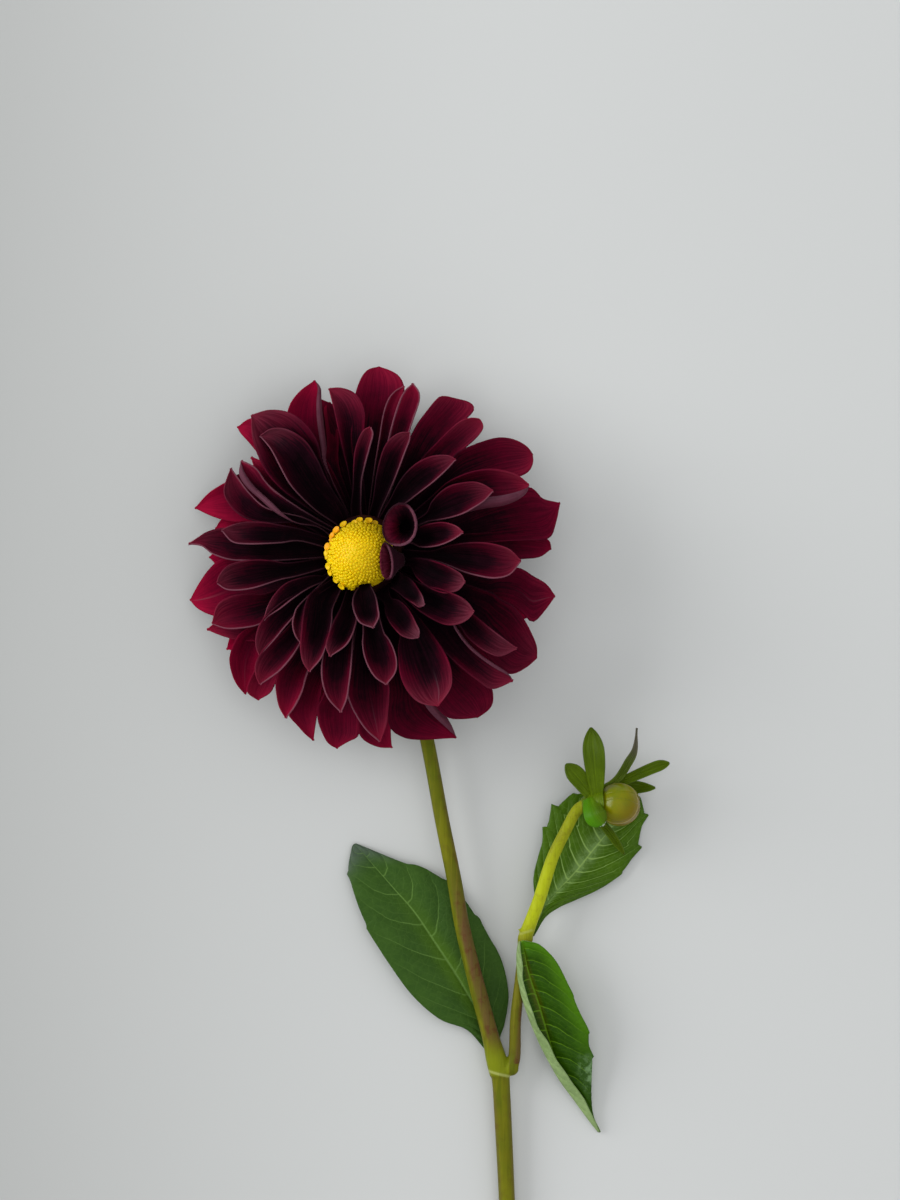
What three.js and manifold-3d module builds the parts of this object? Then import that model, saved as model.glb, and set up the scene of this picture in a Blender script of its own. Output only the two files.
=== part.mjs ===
// A cut dahlia: a dark burgundy head with a yellow disc, on a stem with a leaf, a side shoot,
// two more leaves and a bud. It lies on its back on a surface at z = 0, with its face up.
// Millimetres. X points across the head, Y from the cut end of the stem to the head, Z up.
// Sketch places are measured from the middle of the head; the last lines centre the whole flower.
import * as THREE from "three";
import { mergeVertices } from "three/addons/utils/BufferGeometryUtils.js";
import Module from "manifold-3d";

const wasm = await Module();
wasm.setup();

// Driving dimensions, in millimetres and degrees
const petalThickness = 0.7;
const leafThickness = 0.7;
const gap = 0.3;
const headTiltLeft = 12;
const headTiltUp = 3;
const headBase = new THREE.Vector3(1.7, 0.1, 12.2);
const coreRadius = 13;
const coreBottom = 4.6;
const coreTop = 15.2;
const discRadius = 10.1;
const discHeight = 8.6;
const discSkirt = 1.2;
const floretRelief = 0.5;
const budRadius = 6.5;
const budRibs = 0.25;
const stemAzimuth = 288;
const stemClearance = 13;
const surfaceTipLimit = 10;
const lowestTip = 1.5;
const surfaceBlock = [400, 600, 40];
const weldDistance = 1e-4;
const guardSag = 0.15;
const centreX = 18.4;
const centreY = -81.3;

const rad = THREE.MathUtils.degToRad;

// Seeded random numbers, the same on every run
function seeded(seed) {
  let state = seed;
  return () => {
    state = (state * 1664525 + 1013904223) % 4294967296;
    return state / 4294967296;
  };
}

// Solids and meshes
function toSolid(geometry) {
  const bare = geometry.index ? geometry : geometry.clone();
  bare.deleteAttribute("normal");
  bare.deleteAttribute("uv");
  const merged = mergeVertices(bare, weldDistance);
  return new wasm.Manifold(
    new wasm.Mesh({
      numProp: 3,
      vertProperties: new Float32Array(merged.attributes.position.array),
      triVerts: new Uint32Array(merged.index.array),
    }),
  );
}

function toGeometry(solid) {
  const mesh = solid.getMesh();
  const geometry = new THREE.BufferGeometry();
  geometry.setAttribute("position", new THREE.BufferAttribute(mesh.vertProperties, 3));
  geometry.setIndex(new THREE.BufferAttribute(mesh.triVerts, 1));
  geometry.computeVertexNormals();
  return geometry;
}

function joined(solids) {
  let level = solids;
  while (level.length > 1) {
    const next = [];
    for (let i = 0; i < level.length; i += 2) {
      next.push(i + 1 < level.length ? level[i].add(level[i + 1]) : level[i]);
    }
    level = next;
  }
  return level[0];
}

// The largest closed skin of a solid: loose scraps go, and hollows that fusing sealed are filled
function oneSkin(solid) {
  const mesh = solid.getMesh();
  const parent = Array.from({ length: mesh.numVert }, (_, i) => i);
  const find = (i) => {
    let at = i;
    while (parent[at] !== at) {
      parent[at] = parent[parent[at]];
      at = parent[at];
    }
    return at;
  };
  for (let k = 0; k < mesh.triVerts.length; k += 3) {
    const [a, b, c] = mesh.triVerts.slice(k, k + 3);
    parent[find(b)] = find(a);
    parent[find(c)] = find(a);
  }
  const volumes = new Map();
  const corner = (i) => new THREE.Vector3().fromArray(mesh.vertProperties, 3 * i);
  for (let k = 0; k < mesh.triVerts.length; k += 3) {
    const [a, b, c] = mesh.triVerts.slice(k, k + 3);
    const volume = corner(a).dot(corner(b).cross(corner(c))) / 6;
    volumes.set(find(a), (volumes.get(find(a)) ?? 0) + volume);
  }
  const [largest] = [...volumes.entries()].sort((p, q) => q[1] - p[1])[0];
  const triVerts = [];
  for (let k = 0; k < mesh.triVerts.length; k += 3) {
    if (find(mesh.triVerts[k]) === largest) {
      triVerts.push(...mesh.triVerts.slice(k, k + 3));
    }
  }
  const geometry = new THREE.BufferGeometry();
  geometry.setAttribute("position", new THREE.BufferAttribute(mesh.vertProperties, 3));
  geometry.setIndex(triVerts);
  return toSolid(geometry);
}

// What lies under the surface is cut away, which leaves small flat spots to rest on
function aboveSurface(solid) {
  const block = new THREE.BoxGeometry(...surfaceBlock);
  block.translate(0, 0, -surfaceBlock[2] / 2);
  return solid.subtract(toSolid(block));
}

// Closed skin over rows of points: a blade has a top and a bottom face split alike and a rim
function bladeGeometry(rows, thickness) {
  const count = rows.length;
  const across = rows[0].length;
  const positions = [];
  for (const side of [0.5, -0.5]) {
    for (const row of rows) {
      for (const spot of row) {
        const point = spot.point.clone().addScaledVector(spot.normal, side * thickness);
        positions.push(point.x, point.y, point.z);
      }
    }
  }
  const top = (i, j) => i * across + j;
  const bottom = (i, j) => count * across + i * across + j;
  const index = [];
  const quad = (a, b, c, d) => index.push(a, b, c, a, c, d);
  for (let i = 0; i < count - 1; i += 1) {
    for (let j = 0; j < across - 1; j += 1) {
      const [a, b, c, d] = [[i, j], [i + 1, j], [i + 1, j + 1], [i, j + 1]];
      quad(top(...a), top(...b), top(...c), top(...d));
      index.push(bottom(...a), bottom(...c), bottom(...b), bottom(...a), bottom(...d), bottom(...c));
    }
    quad(top(i, 0), bottom(i, 0), bottom(i + 1, 0), top(i + 1, 0));
    const j = across - 1;
    quad(top(i, j), top(i + 1, j), bottom(i + 1, j), bottom(i, j));
  }
  const last = count - 1;
  for (let j = 0; j < across - 1; j += 1) {
    quad(top(0, j), top(0, j + 1), bottom(0, j + 1), bottom(0, j));
    quad(top(last, j), bottom(last, j), bottom(last, j + 1), top(last, j + 1));
  }
  const geometry = new THREE.BufferGeometry();
  geometry.setAttribute("position", new THREE.Float32BufferAttribute(positions, 3));
  geometry.setIndex(index);
  return geometry;
}

// The normal of each spot on a grid of points, from its neighbours
function withNormals(points) {
  return points.map((row, i) =>
    row.map((point, j) => {
      const before = points[Math.max(i - 1, 0)][j];
      const after = points[Math.min(i + 1, points.length - 1)][j];
      const left = row[Math.max(j - 1, 0)];
      const right = row[Math.min(j + 1, row.length - 1)];
      const along = after.clone().sub(before);
      const normal = along.cross(right.clone().sub(left)).normalize();
      return { point, normal };
    }),
  );
}

// Round stalk along a curve, with a radius at each of its points and closed ends
function stalkSolid(stops, grow, sides, steps) {
  const curve = new THREE.CatmullRomCurve3(stops.map(([x, y, z]) => new THREE.Vector3(x, y, z)));
  const frames = curve.computeFrenetFrames(steps, false);
  const positions = [];
  const index = [];
  for (let i = 0; i <= steps; i += 1) {
    const u = i / steps;
    const t = curve.getUtoTmapping(u);
    const at = t * (stops.length - 1);
    const k = Math.min(Math.floor(at), stops.length - 2);
    const radius = THREE.MathUtils.lerp(stops[k][3], stops[k + 1][3], at - k) + grow;
    const middle = curve.getPointAt(u);
    if (i === 0 || i === steps) {
      middle.addScaledVector(frames.tangents[i], i === 0 ? -grow : grow);
    }
    for (let j = 0; j < sides; j += 1) {
      const angle = (2 * Math.PI * j) / sides;
      const point = middle.clone();
      point.addScaledVector(frames.normals[i], radius * Math.cos(angle));
      point.addScaledVector(frames.binormals[i], radius * Math.sin(angle));
      positions.push(point.x, point.y, point.z);
    }
  }
  const ring = (i, j) => i * sides + (j % sides);
  for (let i = 0; i < steps; i += 1) {
    for (let j = 0; j < sides; j += 1) {
      index.push(ring(i, j), ring(i, j + 1), ring(i + 1, j + 1));
      index.push(ring(i, j), ring(i + 1, j + 1), ring(i + 1, j));
    }
  }
  for (let j = 1; j < sides - 1; j += 1) {
    index.push(ring(0, 0), ring(0, j + 1), ring(0, j));
    index.push(ring(steps, 0), ring(steps, j), ring(steps, j + 1));
  }
  const geometry = new THREE.BufferGeometry();
  geometry.setAttribute("position", new THREE.Float32BufferAttribute(positions, 3));
  geometry.setIndex(index);
  return toSolid(geometry);
}

// The head's own frame: its axis leans to the left and a little up
const headTurn = new THREE.Quaternion().setFromUnitVectors(
  new THREE.Vector3(0, 0, 1),
  new THREE.Vector3(-Math.tan(rad(headTiltLeft)), Math.tan(rad(headTiltUp)), 1).normalize(),
);
const headMatrix = new THREE.Matrix4().compose(headBase, headTurn, new THREE.Vector3(1, 1, 1));

function onHead(x, y, height) {
  return new THREE.Vector3(x, y, height).applyMatrix4(headMatrix);
}

// Lathe about the head's axis, from points of radius and height
function latheSolid(profile, sides, matrix) {
  const outline = profile.map(([radius, height]) => new THREE.Vector2(radius, height));
  const geometry = new THREE.LatheGeometry(outline, sides);
  geometry.rotateX(Math.PI / 2);
  geometry.applyMatrix4(matrix);
  return toSolid(geometry);
}

// The back layer, spread evenly with small seeded changes, leaves room for the stem
function backPetals(count, reach, width) {
  const draw = seeded(11);
  const petals = [];
  for (let k = 0; k < count; k += 1) {
    const azimuth = (360 * (k + 0.3)) / count + 8 * (draw() - 0.5);
    const petal = [azimuth, reach + 3 * (draw() - 0.5), width + 2 * (draw() - 0.5)];
    if (Math.abs(azimuth - stemAzimuth) > stemClearance) {
      petals.push(petal);
    }
  }
  return petals;
}

// Petals. Each layer has its root's radius and height on the receptacle, the height of its tips,
// how far a blade bows from root to tip in degrees, how far its margins curl at the root and at
// the tip in radians, and its petals: azimuth and reach of the tip, width and, where the petal
// bends sideways, the azimuth of its root.
const fiveRows = [0, 0.36, 0.7, 0.91, 1];
const fourRows = [0, 0.5, 0.87, 1];
const layers = [
  {
    rootRadius: 12.1, rootHeight: 13, tipZ: 41, bow: 24, curlRoot: 1.5, curlTip: 1.5,
    rows: fiveRows, across: 4,
    petals: [[46, 19.5, 9.5], [345, 9.4, 8], [275, 21, 8.5], [320, 22.3, 6.5], [300, 28.2, 8]],
  },
  {
    rootRadius: 11.7, rootHeight: 12.4, tipZ: 41, bow: 22, curlRoot: 1.6, curlTip: 1.2,
    rows: fiveRows, across: 4,
    petals: [
      [14.6, 29.3, 7.5], [344, 29.9, 7], [330, 36, 9], [279, 38.9, 8], [250, 31.9, 7],
      [232, 32.7, 6], [243, 38.4, 8.5],
    ],
  },
  {
    rootRadius: 10.6, rootHeight: 11.2, tipZ: 36, bow: 24, curlRoot: 1.7, curlTip: 0.9,
    rows: fiveRows, across: 3,
    petals: [
      [48, 38.9, 8], [72, 39.1, 7], [89.5, 39, 6], [28, 42, 9], [357, 46.4, 9], [328, 52.8, 9],
      [297, 49.3, 14], [260.6, 47.2, 8.5], [228, 49.5, 10], [222, 43.6, 8], [209, 39, 8],
      [190, 45.3, 9], [171, 44.4, 9], [152, 45, 8], [131.5, 48.3, 13, 125],
      [129.4, 54.6, 16, 122], [103, 51.9, 10, 97],
    ],
  },
  {
    rootRadius: 10.2, rootHeight: 9.4, tipZ: 28, bow: 22, curlRoot: 1.5, curlTip: 0.7,
    rows: fiveRows, across: 3,
    petals: [
      [147, 48.9, 9, 155], [145.5, 47.3, 9], [177, 51, 10], [203, 50.7, 12], [243, 54.1, 10],
      [272, 54.6, 11], [319, 57, 11], [24, 52.8, 11], [50, 52.4, 9], [60, 54, 12],
      [76, 54.1, 9],
    ],
  },
  {
    rootRadius: 10, rootHeight: 8.2, tipZ: 16, bow: 22, curlRoot: 1.2, curlTip: 0.45,
    rows: fiveRows, across: 2,
    petals: [
      [87, 57, 15], [107, 55.1, 14, 111], [135, 55.1, 12], [165, 54, 12], [193.6, 54.7, 14],
      [226.7, 55.6, 14, 222], [232, 54.1, 9], [253.5, 57.4, 10], [260.7, 57.8, 14],
      [295.8, 60.5, 18, 290], [307, 57.8, 17], [331, 58.7, 18], [348, 56.9, 15], [5, 55.3, 12],
      [15, 59.8, 15], [29, 56.5, 16, 33],
    ],
  },
  {
    rootRadius: 9.6, rootHeight: 7.2, tipZ: 8, bow: 20, curlRoot: 1.1, curlTip: 0.4,
    rows: fourRows, across: 2,
    petals: [
      [104, 49, 10], [168, 46.4, 12], [204.4, 52.8, 11], [276.6, 57.9, 11], [20, 54.7, 13],
      [69, 50, 12], [340, 52, 13], [318, 52, 13], [240, 52, 12], [213, 51, 12],
    ],
  },
  {
    rootRadius: 9, rootHeight: 6.4, tipZ: -0.4, bow: -7, curlRoot: 0.9, curlTip: 0.25,
    rows: fourRows, across: 2, petals: backPetals(13, 47, 13),
  },
];

// Width of a petal along its length, as a part of its full width: narrow root, blunt point
function petalOutline(t) {
  const widest = 0.7;
  const rootWidth = 0.3;
  const tipWidth = 0.26;
  const tipFullness = 2.5;
  const tipRoundness = 0.55;
  if (t < widest) {
    return rootWidth + (1 - rootWidth) * Math.sin((Math.PI / 2) * (t / widest));
  }
  const u = (t - widest) / (1 - widest);
  return tipWidth + (1 - tipWidth) * (1 - u ** tipFullness) ** tipRoundness;
}

// Tips of the front layers follow the head's tilt; those of the back layers lie near the surface
const smallestHalfWidth = 0.8;
const uncurledFrom = 0.8;

function petalSolid(layer, [azimuth, reach, width, rootAzimuth = azimuth]) {
  const angle = rad(azimuth);
  const tip = new THREE.Vector3(reach * Math.cos(angle), reach * Math.sin(angle), layer.tipZ);
  if (layer.tipZ > surfaceTipLimit) {
    tip.z += Math.tan(rad(headTiltLeft)) * tip.x - Math.tan(rad(headTiltUp)) * tip.y;
    tip.z = Math.max(tip.z, lowestTip);
  }
  const level = onHead(0, 0, layer.rootHeight);
  const turn = rad(rootAzimuth - azimuth);
  const seat = Math.atan2(tip.y - level.y, tip.x - level.x) + turn;
  const root = onHead(
    layer.rootRadius * Math.cos(seat),
    layer.rootRadius * Math.sin(seat),
    layer.rootHeight,
  );
  const leansIn = Math.hypot(tip.x - level.x, tip.y - level.y) < layer.rootRadius;
  const heading = leansIn ? seat : Math.atan2(tip.y - root.y, tip.x - root.x);
  const run = (leansIn ? -1 : 1) * Math.hypot(tip.x - root.x, tip.y - root.y);
  const chord = Math.atan2(tip.z - root.z, run);
  const bow = rad(layer.bow);
  const length = (Math.hypot(run, tip.z - root.z) * bow) / Math.sin(bow);
  const sway = 0.5 * reach * Math.sin(turn);
  const outward = new THREE.Vector3(Math.cos(heading), Math.sin(heading), 0);
  const sideways = new THREE.Vector3(-Math.sin(heading), Math.cos(heading), 0);
  const rows = [];
  for (let i = 0; i < layer.rows.length; i += 1) {
    const t = layer.rows[i];
    const rise = chord + bow - 2 * bow * t;
    const along = (length / (2 * bow)) * (Math.sin(chord + bow) - Math.sin(rise));
    const up = (length / (2 * bow)) * (Math.cos(rise) - Math.cos(chord + bow));
    const middle = root.clone().addScaledVector(outward, along);
    middle.addScaledVector(sideways, sway * Math.sin(Math.PI * t));
    middle.z += up;
    const lift = outward.clone().multiplyScalar(-Math.sin(rise));
    lift.z = Math.cos(rise);
    const curl = THREE.MathUtils.lerp(layer.curlRoot, layer.curlTip, Math.min(1, t / uncurledFrom));
    const half = Math.max((width / 2) * petalOutline(t), smallestHalfWidth);
    const bend = half / Math.sin(Math.min(curl, Math.PI / 2));
    const row = [];
    for (let j = 0; j <= layer.across; j += 1) {
      const phi = curl * ((2 * j) / layer.across - 1);
      const point = middle.clone();
      point.addScaledVector(sideways, bend * Math.sin(phi));
      point.addScaledVector(lift, bend * (1 - Math.cos(phi)));
      const normal = lift.clone().multiplyScalar(Math.cos(phi));
      normal.addScaledVector(sideways, -Math.sin(phi));
      row.push({ point, normal });
    }
    rows.push(row);
  }
  return toSolid(bladeGeometry(rows, petalThickness));
}

function receptacleSolid() {
  const profile = [
    [0, coreBottom], [7.5, coreBottom], [11.2, coreBottom + 1.6], [coreRadius, coreBottom + 4],
    [coreRadius, coreTop - 1.2], [discRadius + 0.6, coreTop], [0, coreTop],
  ];
  return latheSolid(profile, 20, headMatrix);
}

// Dome of the disc about the head's axis; its florets are relief, one on every second corner
function domeSolid(around, rings, relief, grow) {
  const skirtTaper = 0.96;
  const lastClimb = 0.97 * (Math.PI / 2);
  const overhang = 0.12;
  const bottom = coreTop + gap - grow;
  const radius = discRadius + grow;
  const height = discHeight + 2 * grow;
  const positions = [...onHead(0, 0, bottom).toArray()];
  const index = [];
  for (let i = 0; i <= rings; i += 1) {
    const climb = (i / rings) * lastClimb;
    for (let j = 0; j < around; j += 1) {
      const angle = (2 * Math.PI * j) / around;
      const bump = i > 0 && (i + j) % 2 === 0 ? relief : 0;
      const r = i === 0 ? radius * skirtTaper : (radius + bump) * Math.cos(climb - overhang);
      const h = i === 0 ? 0 : discSkirt + (height - discSkirt + bump) * Math.sin(climb);
      positions.push(...onHead(r * Math.cos(angle), r * Math.sin(angle), bottom + h).toArray());
    }
  }
  positions.push(...onHead(0, 0, bottom + height).toArray());
  const ring = (i, j) => 1 + i * around + (j % around);
  const top = 1 + (rings + 1) * around;
  for (let j = 0; j < around; j += 1) {
    index.push(0, ring(0, j + 1), ring(0, j));
    index.push(top, ring(rings, j), ring(rings, j + 1));
    for (let i = 0; i < rings; i += 1) {
      const corners = [ring(i, j), ring(i, j + 1), ring(i + 1, j + 1), ring(i + 1, j)];
      const [a, b, c, d] = (i + j) % 2 === 0 ? corners : [...corners.slice(1), corners[0]];
      index.push(a, b, d, b, c, d);
    }
  }
  const geometry = new THREE.BufferGeometry();
  geometry.setAttribute("position", new THREE.Float32BufferAttribute(positions, 3));
  geometry.setIndex(index);
  return toSolid(geometry);
}

// Stalks as places and radii: the main stem from its cut end to the head, and the side shoot,
// which starts from a round heel on the main node and ends as the bud's stalk
const mainStem = [
  [42.6, -219.9, 2.4, 2.45], [41.7, -192.9, 3.0, 2.5], [40.6, -170, 3.8, 2.65],
  [39.9, -157.5, 4.6, 2.75], [39.2, -154.2, 4.9, 3.1], [38.2, -150.2, 5.2, 3.0],
  [36.6, -143.4, 5.6, 2.6], [33, -129.9, 6.4, 2.45], [28.5, -111.9, 7.2, 2.3],
  [25.8, -96.6, 7.8, 2.25], [22.2, -78.9, 8.2, 2.2], [17.7, -54.9, 8.3, 2.15],
  [12.2, -32, 7.6, 2.15], [7.8, -16, 6.6, 2.15], [4.2, -6.2, 6.4, 2.2], [2.2, -1.2, 8.6, 2.4],
  [1.8, 0, 12, 3],
];
const shootHeel = [43.5, -152.6, 5.7];
const shootHeelRadius = 2.1;
const shootArm = [[39.5, -153, 5, 2.2], [...shootHeel, 1.9]];
const sideShoot = [
  [43.4, -152.8, 5.7, 1.9], [44, -149.5, 6, 1.75], [44.3, -138.6, 7, 1.7],
  [45.6, -127.5, 8, 1.7], [46.6, -118.5, 8.8, 1.8], [47.1, -114.9, 9.2, 2.3],
  [47.6, -112.6, 9.5, 2.15], [49.3, -108, 10, 2.0], [51.6, -101.7, 10.7, 1.95],
  [55.2, -90.3, 11.8, 1.85], [59.2, -81.9, 12.6, 1.75], [62.4, -76, 13.1, 1.75],
  [65.6, -74, 13, 2.1],
];

function stemSolid(grow, sides) {
  const heel = new THREE.SphereGeometry(shootHeelRadius + grow, sides, sides / 2);
  heel.translate(...shootHeel);
  const arm = stalkSolid(shootArm, grow, sides, 1);
  const shaft = stalkSolid(mainStem, grow, sides, 32);
  const shoot = stalkSolid(sideShoot, grow, sides, 24);
  return joined([shaft, arm, toSolid(heel), shoot]);
}

// Bract: a small blade through places from its root to its tip, a little cupped
const bractRows = [0, 0.25, 0.5, 0.72, 0.9, 1];
const bractCup = 0.18;
const bractTipHalfWidth = 0.4;

function bractSolid(places, width) {
  const curve = new THREE.CatmullRomCurve3(places.map((place) => new THREE.Vector3(...place)));
  const rows = bractRows.map((t) => {
    const middle = curve.getPointAt(t);
    const along = curve.getTangentAt(t);
    const sideways = new THREE.Vector3(-along.y, along.x, 0).normalize();
    const lift = along.clone().cross(sideways);
    const half = Math.max((width / 2) * bractOutline(t), bractTipHalfWidth);
    return [-1, 0, 1].map((side) => {
      const point = middle.clone().addScaledVector(sideways, half * side);
      point.addScaledVector(lift, bractCup * half * side * side);
      const normal = lift.clone().addScaledVector(sideways, -2 * bractCup * side).normalize();
      return { point, normal };
    });
  });
  return toSolid(bladeGeometry(rows, petalThickness));
}

function bractOutline(t) {
  const widest = 0.58;
  const rootWidth = 0.6;
  if (t < widest) {
    return rootWidth + (1 - rootWidth) * Math.sin((Math.PI / 2) * (t / widest));
  }
  const u = (t - widest) / (1 - widest);
  return 1 - u * u;
}

// Calyx: a cup behind the petals with bracts turned back from it, all as radius and height
const calyxBractAngles = [22, 76, 128, 180, 232, 322];
const calyxBractWidth = 6;
const calyxBractPlaces = [[4.4, 1.9], [10, 0.9], [13.5, -2.4]];

function calyxSolid() {
  const top = coreBottom - gap;
  const profile = [[0, 0.3], [3.4, 0.3], [4.6, 1.2], [7, 2.9], [7.6, top], [0, top]];
  const cup = latheSolid(profile, 16, headMatrix);
  const bracts = calyxBractAngles.map((degrees) => {
    const c = Math.cos(rad(degrees));
    const s = Math.sin(rad(degrees));
    const places = calyxBractPlaces.map(([r, h]) => onHead(r * c, r * s, h).toArray());
    return bractSolid(places, calyxBractWidth);
  });
  return joined([cup, ...bracts]);
}

// Leaves: rows from base to tip, each with places on the left margin, the midrib and the right
// margin; one with a rolled margin has the roll's crown between its margin and its midrib
const leafLeftRows = [
  [[37.3, -151.3, 1.7], [38.2, -151.2, 1.7], [39.2, -150.9, 1.7]],
  [[34.4, -147.4, 1.6], [36.9, -146.4, 1.2], [39.6, -145, 1.6]],
  [[29.5, -142.2, 2.6], [35.0, -141.3, 1.0], [41.1, -140.2, 1.8]],
  [[21.5, -139, 3.6], [31.5, -134.4, 1.0], [42.2, -131, 2.2]],
  [[13.6, -132.2, 4.2], [26.4, -125.7, 1.0], [39.8, -120.5, 2.6]],
  [[7, -123.4, 4.4], [20.1, -116.1, 1.0], [34.6, -111.8, 2.4]],
  [[1.8, -115.2, 4.0], [13.8, -106.8, 1.3], [27.4, -101.2, 2.2]],
  [[-2.6, -106, 3.2], [7.5, -99.6, 1.5], [18.6, -94.6, 2.2]],
  [[-5.2, -98, 2.2], [1.2, -92.4, 1.3], [10.6, -92, 2.4]],
  [[-6, -93.6, 1.2], [-2, -88.8, 0.8], [3.6, -89.3, 1.6]],
  [[-4.9, -87.2, 0.35], [-4.5, -86.6, 0.35], [-3.7, -86.3, 0.35]],
];
const leafBudRows = [
  [[48.5, -113.2, 6.6], [49.1, -113.6, 6.5], [49.8, -113.9, 6.4]],
  [[50.4, -107, 6.4], [51.8, -107.5, 5.8], [53.2, -108.2, 5.4]],
  [[49.9, -101.1, 6.2], [54.3, -103.2, 4.8], [57.6, -105.2, 4.0]],
  [[49.7, -96, 6.0], [57.3, -99.9, 4.0], [62.7, -103, 2.8]],
  [[50.3, -90.6, 5.6], [60.3, -96.9, 3.5], [68.4, -100.5, 2.0]],
  [[51.4, -85.4, 5.2], [63.6, -93.3, 3.1], [73.2, -97.6, 1.6]],
  [[53.2, -80, 4.8], [66.9, -89.1, 2.9], [77.7, -93.2, 1.4]],
  [[56.3, -75, 4.4], [69.9, -85.5, 2.7], [80.8, -87.6, 1.3]],
  [[60.4, -72.4, 3.8], [73.2, -81.6, 2.4], [82, -82.4, 1.3]],
  [[66.9, -70.8, 3.0], [76.5, -77.7, 2.0], [83, -77.6, 1.0]],
  [[74.6, -70.8, 2.0], [79.8, -73.8, 1.4], [82.4, -74, 0.9]],
  [[81, -72, 0.35], [81.4, -71.9, 0.35], [81.8, -72.3, 0.35]],
];
const leafHangingRows = [
  [[45.4, -115, 12.2], [45.3, -115.2, 11.7], [46.4, -114.8, 12], [47.6, -114.9, 12.2]],
  [[45.7, -118.6, 13.2], [44.7, -118.6, 11.6], [47.1, -118.8, 11.3], [51.6, -116.1, 12.4]],
  [[46.4, -124, 13.2], [44.8, -123.4, 11.2], [48, -123.3, 10.6], [56.4, -121, 12]],
  [[47, -129.4, 12.6], [45.6, -128.7, 10.4], [49.5, -128.4, 9.6], [60.3, -128.7, 11.2]],
  [[48.6, -134.7, 11.8], [46.9, -133.8, 9.4], [51.3, -133.8, 8.4], [63, -135.3, 10]],
  [[50.6, -140.1, 10.6], [49, -139.8, 8.2], [53.1, -140.1, 7.2], [65.9, -141.6, 8.6]],
  [[54, -145.5, 9.2], [51.6, -146.1, 6.8], [54.9, -146.1, 5.8], [66.3, -146.2, 7.2]],
  [[56.9, -151.6, 7.6], [54.5, -151.8, 5.4], [56.6, -151.5, 4.4], [67.3, -150.6, 5.8]],
  [[60.6, -156.9, 6], [57.8, -157.4, 4], [59.3, -157.5, 3], [67.2, -156.3, 4.4]],
  [[64.8, -162.8, 4.2], [62.3, -163.6, 2.6], [63.4, -163.8, 1.8], [67.2, -162.9, 3]],
  [[67.6, -168.6, 2.4], [66.2, -169.1, 1.4], [66.9, -169.4, 0.8], [67.9, -168.4, 1.8]],
  [[69.6, -173.2, 0.9], [69.4, -173.3, 0.5], [69.6, -173.4, 0.4], [70, -173.2, 0.6]],
];

// Teeth of each leaf: the margin (0 is the first column, -1 the last), the place along the rows,
// and the depth. A tooth rises slowly towards the tip of the leaf and falls back at once.
const leafLeftTeeth = [[0, 8.7, 0.7], [0, 6.4, 0.5], [-1, 7.7, 1], [-1, 5.3, 0.8], [-1, 6.5, 0.5]];
const leafBudTeeth = [
  [0, 5.6, 1.4], [0, 6.75, 2.2], [-1, 7.1, 1.6], [-1, 9, 1.6], [-1, 5.6, 0.5], [0, 8.2, 0.8],
];
const leafHangingTeeth = [[-1, 5.2, 0.6], [-1, 6.9, 0.9], [-1, 3.4, 0.4]];
const toothLength = 0.8;
const toothDrop = 0.12;
const toothRise = 1.5;
const rowClearance = 0.2;
const archedWidth = 12;

function toothAt(teeth, side, at) {
  return teeth.reduce((reach, [margin, place, depth]) => {
    const x = (at - place) / toothLength;
    if (margin !== side || x < -1 || x > toothDrop) {
      return reach;
    }
    return reach + depth * (x < 0 ? (1 + x) ** toothRise : 1 - x / toothDrop);
  }, 0);
}

// Leaf blade through such rows, with columns halfway so that its halves arch a little
function leafSolid(rows, teeth, arch) {
  const last = rows.length - 1;
  const columns = rows[0].map((_, j) => {
    const places = rows.map((row) => new THREE.Vector3(...row[j]));
    return new THREE.CatmullRomCurve3(places);
  });
  const toothStops = teeth.flatMap(([, place]) => [place, place + toothDrop * toothLength]);
  const clearOfTeeth = (i) => toothStops.every((stop) => Math.abs(stop - i) > rowClearance);
  const plain = rows.map((_, i) => i).filter(clearOfTeeth);
  const stops = [...plain, ...toothStops].sort((p, q) => p - q);
  const points = stops.map((at) => {
    const spots = columns.map((curve) => curve.getPoint(at / last));
    const first = spots[0];
    const end = spots[spots.length - 1];
    const outwardFirst = first.clone().sub(spots[1]).normalize();
    const outwardEnd = end.clone().sub(spots[spots.length - 2]).normalize();
    first.addScaledVector(outwardFirst, toothAt(teeth, 0, at));
    end.addScaledVector(outwardEnd, toothAt(teeth, -1, at));
    const fall = Math.sin((Math.PI * at) / last);
    return spots.flatMap((spot, j) => {
      if (j === 0) {
        return [spot];
      }
      const halfway = spots[j - 1].clone().lerp(spot, 0.5);
      halfway.z += arch * fall * Math.min(1, spots[j - 1].distanceTo(spot) / archedWidth);
      return [halfway, spot];
    });
  });
  const leaf = toSolid(bladeGeometry(withNormals(points), leafThickness));
  return oneSkin(aboveSurface(leaf.subtract(stemGuard)));
}

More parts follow.
